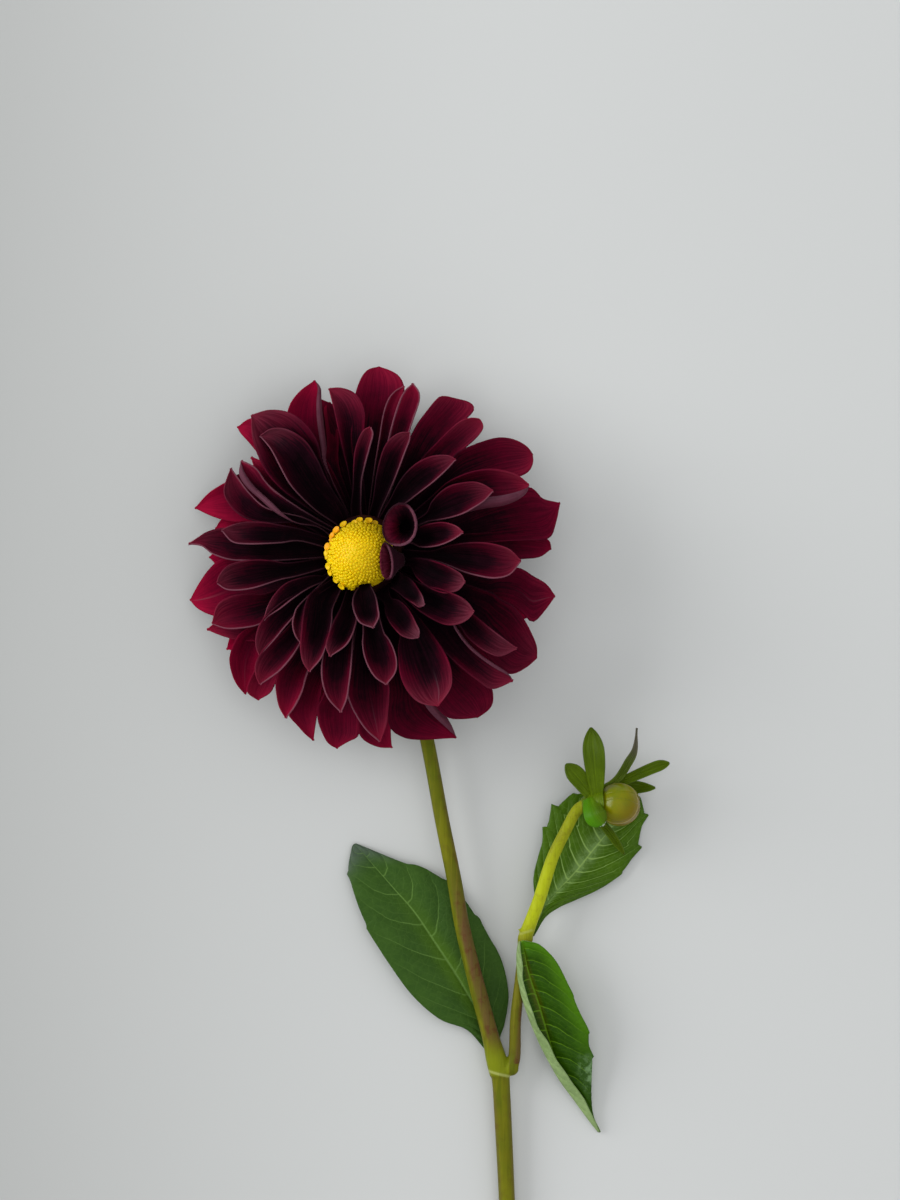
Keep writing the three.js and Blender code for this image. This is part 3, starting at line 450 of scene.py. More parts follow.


# Petals that show, by how they look from above: the left and the right margin on the way from
# root to tip, and the tip. level counts the rings from 0, red makes one more crimson, valley is
# where its hollow lies from right to left, light how strongly the left and right margins get a
# painted highlight line, rollLeft and rollRight how far a margin is rolled over the face, and rib
# how clear its middle line is.
seenPetals = [
    seenPetal(1, [(14, 8.2), (16.2, 9.4), (19.2, 10.2), (22.2, 10.5), (24.9, 10), (27, 9)],
        [(12.8, 4.3), (15.3, 3.2), (18.3, 3.1), (21.6, 3.7), (24.6, 4.9), (27, 6.3)],
        (28.5, 7.5), valley=0.38, red=0.5, light=(0.3, 1)),
    seenPetal(2, [(16.8, 12.7), (18.9, 16.4), (21.6, 19.5), (24.6, 21.5), (28.2, 22.4), (31.8, 22.7),
                  (34.9, 21.8)],
        [(16.8, 10.3), (21, 11.2), (25.2, 12.1), (28.8, 13.3), (31.8, 15), (34.6, 16.8), (36.4, 18.6)],
        (37.6, 20), valley=0.3, red=0.45, light=(0.3, 1)),
    seenPetal(2.2, [(6.5, 17.3), (8.6, 21.5), (11.3, 25.4), (14.9, 28.6), (18.9, 30.4), (22.5, 30.8),
                    (24.6, 30.5)],
        [(8.9, 14.5), (12.2, 17), (15.6, 19.7), (18.9, 22.2), (21.9, 24.8), (24.3, 27.2)],
        (26.3, 29.5), valley=0.25, red=0.35, light=(0.3, 1)),
    seenPetal(2.3, [(1.4, 17.3), (2.3, 23.9), (3.5, 29.3), (5, 33.5), (7.1, 36.1), (9.8, 37.6)],
        [(3.8, 14.2), (5.6, 18.2), (7.4, 22.4), (9.2, 26.9), (11, 31.7), (12.4, 35.4)],
        (12.5, 37.6), valley=0.3, red=0.35, light=(0.3, 1)),
    seenPetal(2.4, [(-5.3, 14.8), (-4.7, 20.3), (-4.5, 26.3), (-4.1, 31.7), (-2.8, 36), (-1.3, 38.4)],
        [(-2.2, 14.2), (-2.2, 19.1), (-1.9, 23.9), (-0.7, 29), (0.5, 33.5), (1.4, 37.2)],
        (0.6, 39.3), valley=0.5, red=0.4, light=(0.3, 1)),
    seenPetal(3.2, [(3.8, 24.8), (5.3, 32.3), (7.1, 39.9), (8.9, 45.9), (10.7, 49.8)],
        [(8, 23.3), (10.4, 30.8), (12.2, 37.5), (14, 42.9), (15.3, 46.8), (15.3, 49.8)],
        (13.4, 52.5), red=0.6, light=(1, 1)),
    seenPetal(3.6, [(1.7, 26.3), (3.2, 35.4), (4.4, 42.9), (5.9, 47.4), (8, 50.1)],
        [(5.9, 26.3), (7.4, 35.4), (8.6, 42.9), (9.8, 47.4)],
        (10.7, 51.6), red=0.6, light=(1, 0.3)),
    seenPetal(4, [(-5, 32.3), (-5, 39.9), (-4.4, 46.8), (-3.1, 51.9), (-1.6, 55), (0.2, 56.8)],
        [(7.1, 32.3), (9.5, 39.9), (10.7, 46.8), (10.7, 51.6), (9.2, 54.7), (6.8, 56.2)],
        (3.2, 57.4), red=0.62, blade=1, valley=0.55),
    seenPetal(3.8, [(8.9, 26.3), (11.6, 33.8), (14.6, 39.9), (17.7, 44.1), (20.1, 47.1), (22.2, 48.6)],
        [(16.8, 24.8), (21.6, 32.3), (26.1, 38.4), (29.7, 42), (31.8, 44.4), (30.9, 46.5)],
        (26.7, 47.7), red=0.5),
    seenPetal(3.4, [(12.5, 24.8), (16.2, 29.9), (20.4, 34.3), (24.3, 38.2), (27.9, 41.1), (31.2, 42)],
        [(17.1, 22.7), (22.2, 26.9), (26.4, 30.8), (30, 33.8), (33, 36.6), (34.6, 39.3)],
        (33.6, 41.7), red=0.5, valley=0.4),
    seenPetal(4, [(21.6, 24.8), (24, 28.1), (27, 31.7), (30.9, 33.5), (35.2, 35.1), (39.7, 36.1),
                  (44.2, 35.4), (47.8, 33.4)],
        [(26.1, 18.8), (32.1, 20.3), (38.2, 22.4), (44.2, 23.9), (48.1, 25.7), (49.6, 28.4)],
        (49.5, 31.1), red=0.45),
    seenPetal(3, [(18.6, 17.9), (23.1, 22.1), (27.6, 24.5), (32.1, 26), (36.7, 26.6), (41.2, 26),
                  (45.1, 24.6)],
        [(23.1, 12.7), (29.1, 13.6), (35.2, 14.8), (40.6, 15.6), (44.8, 17.3), (47.5, 19.4)],
        (48.4, 21.9), red=0.6, rollRight=0.5, valley=0.55),
    seenPetal(4.5, [(26.1, 11.8), (33.6, 15.8), (41.2, 19.1), (47.8, 21.2), (50.8, 19.7), (52.6, 17.7)],
        [(26.1, 3.7), (33.6, 4.3), (41.2, 4.9), (48.1, 5.2), (54.5, 5.8), (56.6, 10.6)],
        (57.8, 16.4), red=0.35),
    seenPetal(4.7, [(26.1, 6.7), (33.6, 7.3), (41.2, 7.6), (48.7, 7), (54.2, 5.2)],
        [(26.1, -0.8), (33.6, -1.4), (41.2, -0.8), (46.3, -0.5), (51.7, 0.1)],
        (55.1, 2.5), red=0.25),
    seenPetal(2.1, [(18.6, 1.9), (23.7, 3.4), (29.1, 4.3), (34.3, 4.4), (38.8, 3.7), (42.7, 2.2)],
        [(18.6, -0.8), (23.7, -2.3), (28.5, -4.3), (33.6, -5.7), (38.2, -6.3), (42.7, -5.1)],
        (46, -1.1), valley=0.42, red=0.5, light=(0.3, 1)),
    seenPetal(1, [(11.6, -0.5), (14.9, -0.2), (18.9, -1), (22.5, -2.2), (25.5, -3.6), (27.9, -5.2)],
        [(12.5, -2.6), (14.3, -5.7), (16.8, -8.1), (19.8, -9.9), (23.4, -10.8), (27, -9.9)],
        (29.1, -7.5), valley=0.62, red=0.4),
    seenPetal(1.2, [(17.1, -8.4), (21.6, -9.6), (25.2, -10.9), (28.2, -12.3), (30.3, -14.1)],
        [(14, -15), (16.8, -17.1), (19.8, -18.9), (23.4, -20.3), (27, -20.1), (30, -18.6)],
        (31.8, -16.4), valley=0.6, red=0.4),
    seenPetal(0.4, [(9.2, -5.1), (11.3, -5.7), (13.3, -7.2), (14.9, -9.4), (16.2, -11.7)],
        [(6.8, -8.1), (8.6, -10.3), (11, -12.3), (13.4, -13.8), (15.3, -15)],
        (16.9, -14.4), valley=0.5, red=0.1),
    seenPetal(0.5, [(6.8, -12.3), (8.9, -12.9), (11.2, -14.7), (13, -17.3), (14.3, -20), (15.3, -22.2)],
        [(4.7, -13.8), (5, -16.5), (6.2, -19.2), (8, -21.6), (10.1, -23.6), (12.8, -24.5)],
        (15.1, -24.2), valley=0.55, red=0.2),
    seenPetal(2, [(13.7, -16.5), (16.8, -20.1), (19.8, -24.1), (22.5, -28), (24.3, -31.9), (25.1, -35.8),
                  (24.6, -39.7)],
        [(9.2, -21.9), (8.9, -27.4), (9.2, -32.5), (10.1, -37), (12.5, -41.3), (15.9, -44)],
        (21, -44.9), valley=0.66, red=0.55, rib=1, crease=0.3, blade=1),
    seenPetal(2.6, [(27.6, -14.4), (31.2, -17), (34.9, -20), (38.5, -22.9), (42.1, -25.6)],
        [(26.1, -19.5), (29.1, -23.2), (32.7, -26.6), (36.4, -28.9), (40, -29.8)],
        (44.8, -27.5), valley=0.55, red=0.25),
    seenPetal(3, [(23.1, -16.5), (26.4, -21), (30, -25.9), (33.9, -29.5), (38.2, -32.5), (41.8, -34.9)],
        [(20.1, -25), (24, -29.5), (28.2, -33.4), (32.7, -37), (37.3, -39.7)],
        (43.6, -37.3), red=0.4, rollLeft=0.22, valley=0.6, light=(1, 0.3)),
    seenPetal(4, [(35.2, -9.9), (39.7, -12.6), (43.6, -14.7), (46.6, -18.3), (49, -22.6), (50.7, -26.8)],
        [(30.6, -21.9), (34.6, -28), (38.2, -32.5), (42.7, -35.2), (47.2, -33.4)],
        (50.8, -30.4), red=0.3),
    seenPetal(4.2, [(33.6, -5.4), (39.1, -4.2), (45.1, -3.2), (49.6, -5.7), (53.6, -8.1)],
        [(33.6, -12.3), (39.1, -12.9), (43.3, -14.3), (46.6, -16.8), (49.6, -19.5), (53.3, -15.9)],
        (56.3, -11.7), red=0.4, rib=0.4),
    seenPetal(4.4, [(26.1, -31), (32.1, -35.5), (36.7, -38.8), (37.6, -42.5), (36.7, -45.5)],
        [(18.6, -40), (20.1, -44.6), (23.7, -48.2), (27.6, -48.8)],
        (33, -48.3), red=0.3),
    seenPetal(4.6, [(17.1, -31), (19.2, -38.5), (21.3, -44), (23.4, -47.9), (25.2, -51.2)],
        [(6.5, -40), (5.9, -46.7), (6.8, -51.8), (11, -54.5), (16.2, -55.1), (21.6, -54.8)],
        (26.4, -54.5), red=0.3, rollLeft=0.5),
    seenPetal(0.3, [(0.8, -8.7), (1.7, -10.6), (2.4, -12.6), (2.9, -15.4), (3.1, -18)],
        [(-2.8, -8.9), (-4.3, -11.2), (-4.8, -14), (-4.1, -17), (-2.4, -19.8)],
        (1.5, -21.3), valley=0.6, red=0.15, light=(1, 1), rootRadius=8.4, rootUp=2.5, rootHalf=2),
    seenPetal(1.3, [(4.4, -21.9), (6.2, -24.7), (7.7, -28), (8.5, -31.6), (8, -34.9)],
        [(-1.6, -21.9), (-1.8, -25.9), (-1.2, -29.8), (0.2, -33.4), (2.3, -36.4)],
        (5.4, -38.4), valley=0.5, red=0.5, light=(1, 1)),
    seenPetal(1, [(-3.1, -16.5), (-3.8, -20.1), (-5.1, -23.8), (-7.1, -26.8)],
        [(-8.6, -15.9), (-10.5, -19.5), (-11.9, -23.2), (-12.8, -26.8)],
        (-11.6, -29.9), valley=0.65, red=0.4, light=(1, 0.3)),
    seenPetal(1.5, [(-10.7, -15.3), (-11, -18.9), (-11.7, -22.9), (-12.8, -26.8), (-14.5, -30.7)],
        [(-17, -10.5), (-18.8, -13.5), (-19.7, -18), (-20.2, -22.9), (-20.5, -27.4), (-19.7, -31.6)],
        (-17.8, -34.5), valley=0.65, red=0.5, light=(1, 0.3)),
    seenPetal(1.7, [(-17.6, -12.9), (-19.1, -15.9), (-19.6, -19.5), (-19.7, -23.2)],
        [(-20.6, -14.1), (-22.3, -17.1), (-22.9, -20.1), (-22.1, -23.5)],
        (-20.2, -26.2), red=0.4, light=(0.3, 1)),
    seenPetal(2, [(-15.8, -9.9), (-19.1, -13.5), (-22.1, -17.4), (-25.5, -21.3), (-28.8, -25.3)],
        [(-20.6, -10.5), (-25.2, -12.9), (-29.7, -16.5), (-32.7, -20.1), (-33.9, -24.1), (-33.8, -27.4)],
        (-32.9, -29.6), valley=0.75, red=0.4, light=(1, 0.3)),
    seenPetal(1.8, [(-15.2, -8.1), (-19.1, -10), (-23.1, -12.7), (-26.7, -15.5), (-29.7, -17.4)],
        [(-11.6, -5.7), (-16.1, -5.5), (-20.6, -6.3), (-24.9, -7.9), (-28.2, -11.1), (-30.3, -14.7)],
        (-31.6, -18.9), valley=0.75, red=0.3, light=(1, 0.3)),
    seenPetal(2.4, [(-17.6, -20.4), (-20, -25), (-22.1, -28.6), (-24.6, -31.9), (-27.6, -34.9)],
        [(-25.2, -21.9), (-29.7, -25.6), (-32.7, -29.2), (-34.1, -32.5), (-33.9, -35.8)],
        (-32.7, -38.4), valley=0.55, red=0.5, light=(1, 0.3)),
    seenPetal(4, [(-29.7, -25), (-32.1, -29.5), (-33.6, -34), (-34.8, -37.9)],
        [(-36.3, -21.3), (-39.3, -23.8), (-41.1, -27.4), (-41.9, -31), (-41.1, -35.2), (-39.6, -38.5)],
        (-37.2, -41.3), red=0.9, rib=0.3),
    seenPetal(3.6, [(-20.6, -26.5), (-23.7, -31), (-26.1, -34.9), (-28.2, -38.2), (-29.7, -40.9)],
        [(-29.7, -28), (-33.3, -32.5), (-35.7, -37), (-36.6, -40.6)],
        (-33.3, -43.1), red=0.7),
    seenPetal(2, [(-4.7, -25), (-5, -29.5), (-5.3, -34), (-5.9, -38.5), (-6.6, -42.8)],
        [(-12.5, -25), (-13.7, -29.5), (-14.2, -34), (-13.7, -38.5), (-12, -42.8)],
        (-8.3, -46.8), red=0.5, light=(1, 1)),
    seenPetal(3.3, [(-15.2, -28), (-17.3, -32.2), (-18.8, -36.4), (-20, -40.6), (-22.1, -44.9)],
        [(-23.7, -29.5), (-26.7, -33.4), (-27.9, -37.6), (-27.6, -41.9), (-26.7, -45.5)],
        (-24.9, -48.6), red=0.75, light=(1, 0.3)),
    seenPetal(4, [(-13.1, -37), (-14.3, -41.6), (-15.2, -46.1), (-16, -50.6)],
        [(-21.2, -40), (-23.7, -43.7), (-24, -47.6), (-21.5, -50.6), (-19.1, -53.3)],
        (-16.6, -55.3), red=0.6),
    seenPetal(4.2, [(-1.9, -40), (-2.2, -44.6), (-2.5, -49.1), (-3.1, -53.9), (-6.2, -55.7)],
        [(-13.1, -40), (-15.2, -44.6), (-15.2, -49.1), (-14, -52.7), (-12.2, -56)],
        (-9.5, -57.7), red=0.5),
    seenPetal(3, [(5.9, -37), (6.2, -41.6), (5.9, -46.1), (5.3, -50.6)],
        [(-6.2, -38.5), (-5.6, -43.7), (-3.4, -48.2), (-0.4, -52.4)],
        (3.5, -55.7), red=0.5, rib=0.4, light=(0.3, 1)),
    seenPetal(4.4, [(8.9, -41.6), (8, -46.1), (6.8, -50.9), (6.8, -54.5)],
        [(-3.1, -47.6), (-2.5, -53.6), (-0.1, -56), (3.5, -57.4)],
        (7.1, -57.5), red=0.5),
    seenPetal(3.6, [(-28.2, -25), (-34.2, -25.3), (-39.3, -25), (-44.2, -23.6)],
        [(-28.2, -18.3), (-34.2, -18.3), (-40.2, -18.6), (-45.4, -19.5)],
        (-48.7, -21.8), red=0.6),
    seenPetal(3, [(-25.2, -15.9), (-29.1, -18.3), (-33.3, -20.4), (-37.8, -21.3), (-42.7, -21.5)],
        [(-29.7, -10.5), (-34.2, -10.9), (-38.7, -11.2), (-42.7, -12.3), (-45.7, -14.7)],
        (-47.2, -20.1), red=0.55, valley=0.65, light=(1, 0.3)),
    seenPetal(4.2, [(-35.7, -16.5), (-40.2, -17.7), (-44.8, -18), (-48.7, -17), (-51.7, -15.3)],
        [(-35.7, -1.4), (-40.2, 0.1), (-44.5, -0.5), (-48.1, -3.6), (-51.1, -7.8)],
        (-53.8, -12.9), red=0.85, rib=0.6),
    seenPetal(2, [(-21.5, -5.7), (-26.1, -6.6), (-30.3, -7.9), (-34.8, -9.3), (-39.3, -9.9), (-43, -9.6)],
        [(-23.7, -1.7), (-28.8, -1.1), (-33.6, -0.8), (-38.4, -1.3), (-42.4, -2.6), (-44.9, -5.4)],
        (-45.7, -7.8), valley=0.68, red=0.35, light=(1, 0.3)),
    seenPetal(3, [(-23.7, -0.8), (-29.7, -1.1), (-35.7, -1.1), (-41.8, -0.7), (-46.9, 1), (-50.2, 3.4)],
        [(-23.7, 6.1), (-31.2, 7.3), (-38.7, 8.2), (-44.2, 8.8), (-48.7, 7.6), (-51.4, 5.9)],
        (-54.3, 4), red=0.35, light=(1, 0.3)),
    seenPetal(2.1, [(-20.6, 4.9), (-26.1, 4.4), (-31.2, 4.1), (-36.6, 4), (-41.1, 4.7)],
        [(-20.6, 8.5), (-26.1, 9.6), (-31.2, 10.5), (-36.6, 10.6), (-41.1, 9.7)],
        (-44.3, 8.2), valley=0.65, red=0.2, light=(1, 0.3)),
    seenPetal(4, [(-34.2, 10.3), (-39.3, 10.6), (-44.2, 11.4), (-48.4, 12.9)],
        [(-35.7, 23.9), (-39.9, 23.9), (-44.2, 21.9), (-48.4, 19.1)],
        (-52.3, 14.8), red=1),
    seenPetal(4.5, [(-35.7, 6.7), (-40.2, 7.6), (-43.3, 8.2)],
        [(-35.7, 12.7), (-40.2, 12.7), (-44.2, 11.5)],
        (-46.1, 8.7), red=0.9),
    seenPetal(3.1, [(-20.6, 10), (-28.2, 10.3), (-34.2, 10.9), (-38.7, 12.7), (-42.1, 16.1), (-43.6, 20.3)],
        [(-19.1, 11.8), (-25.2, 13.3), (-31.2, 15.1), (-35.7, 19.1), (-38.7, 23.1)],
        (-41.5, 26.9), red=0.3, valley=0.35, light=(0.3, 1)),
    seenPetal(3, [(-15.2, 9.1), (-21.2, 10.2), (-27.6, 13.3), (-32.7, 17.6), (-36.9, 21.5), (-38.9, 25.1)],
        [(-14.6, 11.2), (-20.6, 14.8), (-26.1, 18.5), (-30.6, 22.4), (-33.9, 26.9)],
        (-38.3, 29.2), red=0.5, rollLeft=0.6, light=(1, 1)),
    seenPetal(3.3, [(-20.6, 12.7), (-25.8, 16.7), (-30.3, 20.9), (-33.9, 26)],
        [(-19.1, 17.3), (-23.7, 20.3), (-28.2, 23.9), (-32.1, 28.7)],
        (-35.4, 30.2), red=0.8),
    seenPetal(4, [(-28.2, 24.8), (-32.1, 29.9), (-35.7, 34.3), (-38.7, 37.6)],
        [(-23.7, 30.8), (-28.2, 36.9), (-32.1, 40.5), (-35.7, 41.8)],
        (-39.5, 39.3), red=0.85),
    seenPetal(2.5, [(-15.2, 12.7), (-20.6, 16.4), (-25.8, 20.3), (-30.3, 25.1), (-33.3, 30.8), (-35, 36.6)],
        [(-10.1, 17.3), (-11.9, 23.3), (-14, 29.3), (-15.5, 35.1), (-18.8, 39.9),
         (-23.7, 43.5), (-29.7, 44.4)],
        (-35.3, 42.9), red=0.4, blade=1),
    seenPetal(2.2, [(-10.7, 10.6), (-15.2, 13.6), (-19.7, 17.6), (-23.7, 22.1), (-26.7, 27.5), (-29.4, 32.6)],
        [(-6.5, 13.6), (-9.5, 18.2), (-12.8, 23.6), (-15.5, 29.6), (-19.1, 35.1),
         (-24.3, 38.4), (-29.1, 38.8)],
        (-32.7, 36.6), valley=0.62, red=0.15, light=(1, 0.3)),
    seenPetal(4, [(-20.6, 26.3), (-23.1, 33.8), (-24.6, 40.8), (-23.7, 45.9), (-20.6, 50.1)],
        [(-12.2, 26.3), (-12.8, 33.8), (-13.7, 41.4), (-14.3, 47.4), (-14.5, 51)],
        (-16.3, 53.3), red=0.9, rollRight=0.3),
    seenPetal(4.2, [(-13.1, 26.3), (-12.5, 33.8), (-13.1, 41.4), (-13.4, 45)],
        [(-8.6, 26.3), (-8.9, 35.4), (-9.5, 41.4), (-10.4, 45.3)],
        (-11.7, 46.7), red=0.6),
    seenPetal(3.2, [(-5, 20.3), (-6.5, 27.8), (-8, 33.8), (-9.2, 39.3), (-10.4, 45)],
        [(-1.6, 26.3), (-1.6, 32.3), (-1.3, 39), (-1.3, 44.4), (-3.8, 49.1), (-8, 51)],
        (-11.9, 50.9), valley=0.65, red=0.45),
]
# The two innermost petals are little cups. Each has its mouth's middle, half widths, height and
# turn, its seat round the receptacle, the way that its slit looks, how far its tube hangs back
# from the slit, and how its lip lies: dipped at the slit, with a painted highlight round one side.
cupPetals = [
    {"mouth": (9.6, 9.7), "half": (4.9, 6.5), "height": 43, "seat": 46, "slit": 200, "bulge": (4.6, -1.0),
     "dip": 1.9, "paintedHighlightAt": -15, "paintedHighlightFrom": -0.3, "turn": -14, "edge": 14, "red": 0.15},
    {"mouth": (5.3, -1.4), "half": (1.8, 5.6), "height": 40, "seat": 352, "slit": 180, "bulge": (2.2, 0),
     "dip": 0.5, "paintedHighlightAt": 0, "paintedHighlightFrom": 0.1, "turn": 4, "edge": 30, "red": 0.1},
]
cupMake = {"overlap": 1.01, "flare": 2.6, "lip": 0.11, "lipDrop": 0.5, "paintedHighlightSpan": 0.5, "tone": 0.05}


# Fillers behind the petals that show: azimuth, reach and width
fillers = [
    (20, 54.7, 13), (340, 52, 13), (318, 52, 13), (240, 52, 12), (213, 51, 12), (60, 48, 13), (90, 50, 13),
    (107, 50, 15), (125, 49, 13), (150, 47, 13), (180, 48, 13), (295, 54, 13), (251, 49, 11),
]


def hiddenPetals():
    # the fillers, and the back ring, spread evenly with small seeded changes and with room left
    # for the stem
    found = [hiddenPetal(petalMake["fillerRing"], *place) for place in fillers]
    count = petalMake["backCount"]
    state, whole = 11, 2 ** 32
    for k in range(count):
        draws = []
        for _ in range(3):
            state = (state * 1664525 + 1013904223) % whole
            draws.append(state / whole - 0.5)
        azimuth = 360 * (k + 0.3) / count + 8 * draws[0]
        if abs(azimuth - petalMake["stemAzimuth"]) > petalMake["stemClearance"]:
            found.append(hiddenPetal(petalMake["backRing"], azimuth, petalMake["backReach"] + 3 * draws[1],
                                     petalMake["backWidth"] + 2 * draws[2]))
    return found


def petalBlank():
    # flat blade one unit long, root at y 0, with its rows closer together near the tip
    across, rows = petalMake["across"], petalMake["along"]
    bpy.ops.mesh.primitive_grid_add(x_subdivisions=across, y_subdivisions=rows, size=1)
    blank = bpy.context.object
    blank.name = "petalBlank"
    for vertex in blank.data.vertices:
        vertex.co.y = 1 - (0.5 - vertex.co.y) ** 1.5
    return blank


def petalHalfWidth(t):
    widest = petalMake["widestAt"]
    if t < widest:
        return mix(petalMake["rootWidth"], 1, math.sin(math.pi / 2 * t / widest))
    u = (t - widest) / (1 - widest)
    return max(0, 1 - u ** petalMake["shoulder"]) ** 0.75


def petalClimb(run, climb, bow, hook):
    # height over the root at equal shares of the run: an arc whose tip turns up
    count = petalMake["lineSteps"]
    hookFrom = petalMake["hookFrom"]
    slopes = [bow - 2 * bow * k / count + hook * smooth(hookFrom, 1, k / count) for k in range(count + 1)]
    points = [Vector((0, 0))]
    for first, second in zip(slopes, slopes[1:]):
        slope = (first + second) / 2
        points.append(points[-1] + Vector((math.cos(slope), math.sin(slope))))
    turn = math.atan2(climb, run) - math.atan2(points[-1].y, points[-1].x)
    scale = math.hypot(run, climb) / points[-1].length
    points = [Matrix.Rotation(turn, 2) @ point * scale for point in points]
    heights = []
    k = 0
    for step in range(count + 1):
        forward = run * step / count
        while k < count - 1 and points[k + 1].x < forward:
            k += 1
        share = (forward - points[k].x) / max(points[k + 1].x - points[k].x, 1e-6)
        heights.append(mix(points[k].y, points[k + 1].y, min(max(share, 0), 1)))
    return heights


def pickFrom(values, t):
    at = min(max(t, 0), 1) * (len(values) - 1)
    i = min(int(at), len(values) - 2)
    return mix(values[i], values[i + 1], at - i)


def evenLine(stops):
    # points at equal distances on a smooth line through the stops
    count, fineCount = petalMake["lineSteps"], petalMake["fineSteps"]
    fine = [along(stops, k / fineCount * (len(stops) - 1)) for k in range(fineCount + 1)]
    lengths = [0.0]
    for first, second in zip(fine, fine[1:]):
        lengths.append(lengths[-1] + (second - first).length)
    points = []
    k = 0
    for step in range(count + 1):
        wanted = lengths[-1] * step / count
        while k < fineCount - 1 and lengths[k + 1] < wanted:
            k += 1
        share = (wanted - lengths[k]) / max(lengths[k + 1] - lengths[k], 1e-6)
        points.append(fine[k].lerp(fine[k + 1], min(max(share, 0), 1)))
    return points


def atLevel(level, key):
    low = min(int(level), len(rings) - 2)
    return mix(rings[low][key], rings[low + 1][key], level - low)


def hiddenMargins(this, rootRadius, rootHeight):
    angle = math.radians(this["azimuth"])
    ahead = Vector((math.cos(angle), math.sin(angle)))
    root = onHead(rootRadius * ahead.x, rootRadius * ahead.y, rootHeight)
    tip = ahead * this["reach"]
    aside = Vector((-ahead.y, ahead.x)) * this["width"] / 2
    shares = [k / 12 for k in range(13)]
    left, right = ([overSurface(root).lerp(tip, t) + aside * sign * petalHalfWidth(t) for t in shares]
                   for sign in (1, -1))
    return root, evenLine(left), evenLine(right), tip


def seenMargins(this, rootRadius, rootHeight):
    left, right = ([Vector(stop) for stop in this[side]] for side in ("left", "right"))
    tip = Vector(this["tip"])
    toward = (left[0] + right[0]) / 2 - onHead(0, 0, rootHeight).xy
    toward.normalize()
    root = onHead(rootRadius * toward.x, rootRadius * toward.y, rootHeight)
    start = overSurface(root)
    near = petalMake["nearRoot"]
    left, right = ([stop for stop in side if (stop - start).dot(toward) > near] for side in (left, right))
    ahead = ((left + [tip])[0] + (right + [tip])[0]) / 2 - start
    rootHalf = this.get("rootHalf", atLevel(this["level"], "rootHalf"))
    aside = Vector((-ahead.y, ahead.x)).normalized() * rootHalf
    return root, evenLine([start + aside] + left + [tip]), evenLine([start - aside] + right + [tip]), tip


def petalMargins(this, rootHeight):
    # the root, both margins as seen from above, from the receptacle to the tip, and the tip
    rootRadius = this.get("rootRadius", atLevel(this["level"], "rootRadius"))
    return (seenMargins if "left" in this else hiddenMargins)(this, rootRadius, rootHeight)


def petalSection(s, width, share, curl, roll):
    # sideways and up from the hollow, at s from -1 to 1, share of the width that its side has
    part = abs(s)
    w = width * share
    deep = width / 2 * (1 - math.cos(curl)) / math.sin(curl)
    if roll > 0:
        flat = petalMake["rollFrom"]
        if part > flat:
            radius = petalMake["rollRadius"] * roll * width
            angle = (part - flat) / (1 - flat) * petalMake["rollTurn"]
            return w - radius + radius * math.cos(angle), deep + radius * math.sin(angle)
        part = part / flat
        curl = max(curl, petalMake["rolledCurl"])
    up = deep * (1 - math.cos(curl * part)) / (1 - math.cos(curl))
    return w * math.sin(curl * part) / math.sin(curl), up


def setAttributes(piece, **given):
    # each value is one number, a number for each vertex, or a function of the vertex's place
    vertices = piece.data.vertices
    for name, value in given.items():
        if callable(value):
            value = [value(vertex.co) for vertex in vertices]
        elif not isinstance(value, list):
            value = [value] * len(vertices)
        if name not in piece.data.attributes:
            piece.data.attributes.new(name, "FLOAT", "POINT")
        piece.data.attributes[name].data.foreach_set("value", value)


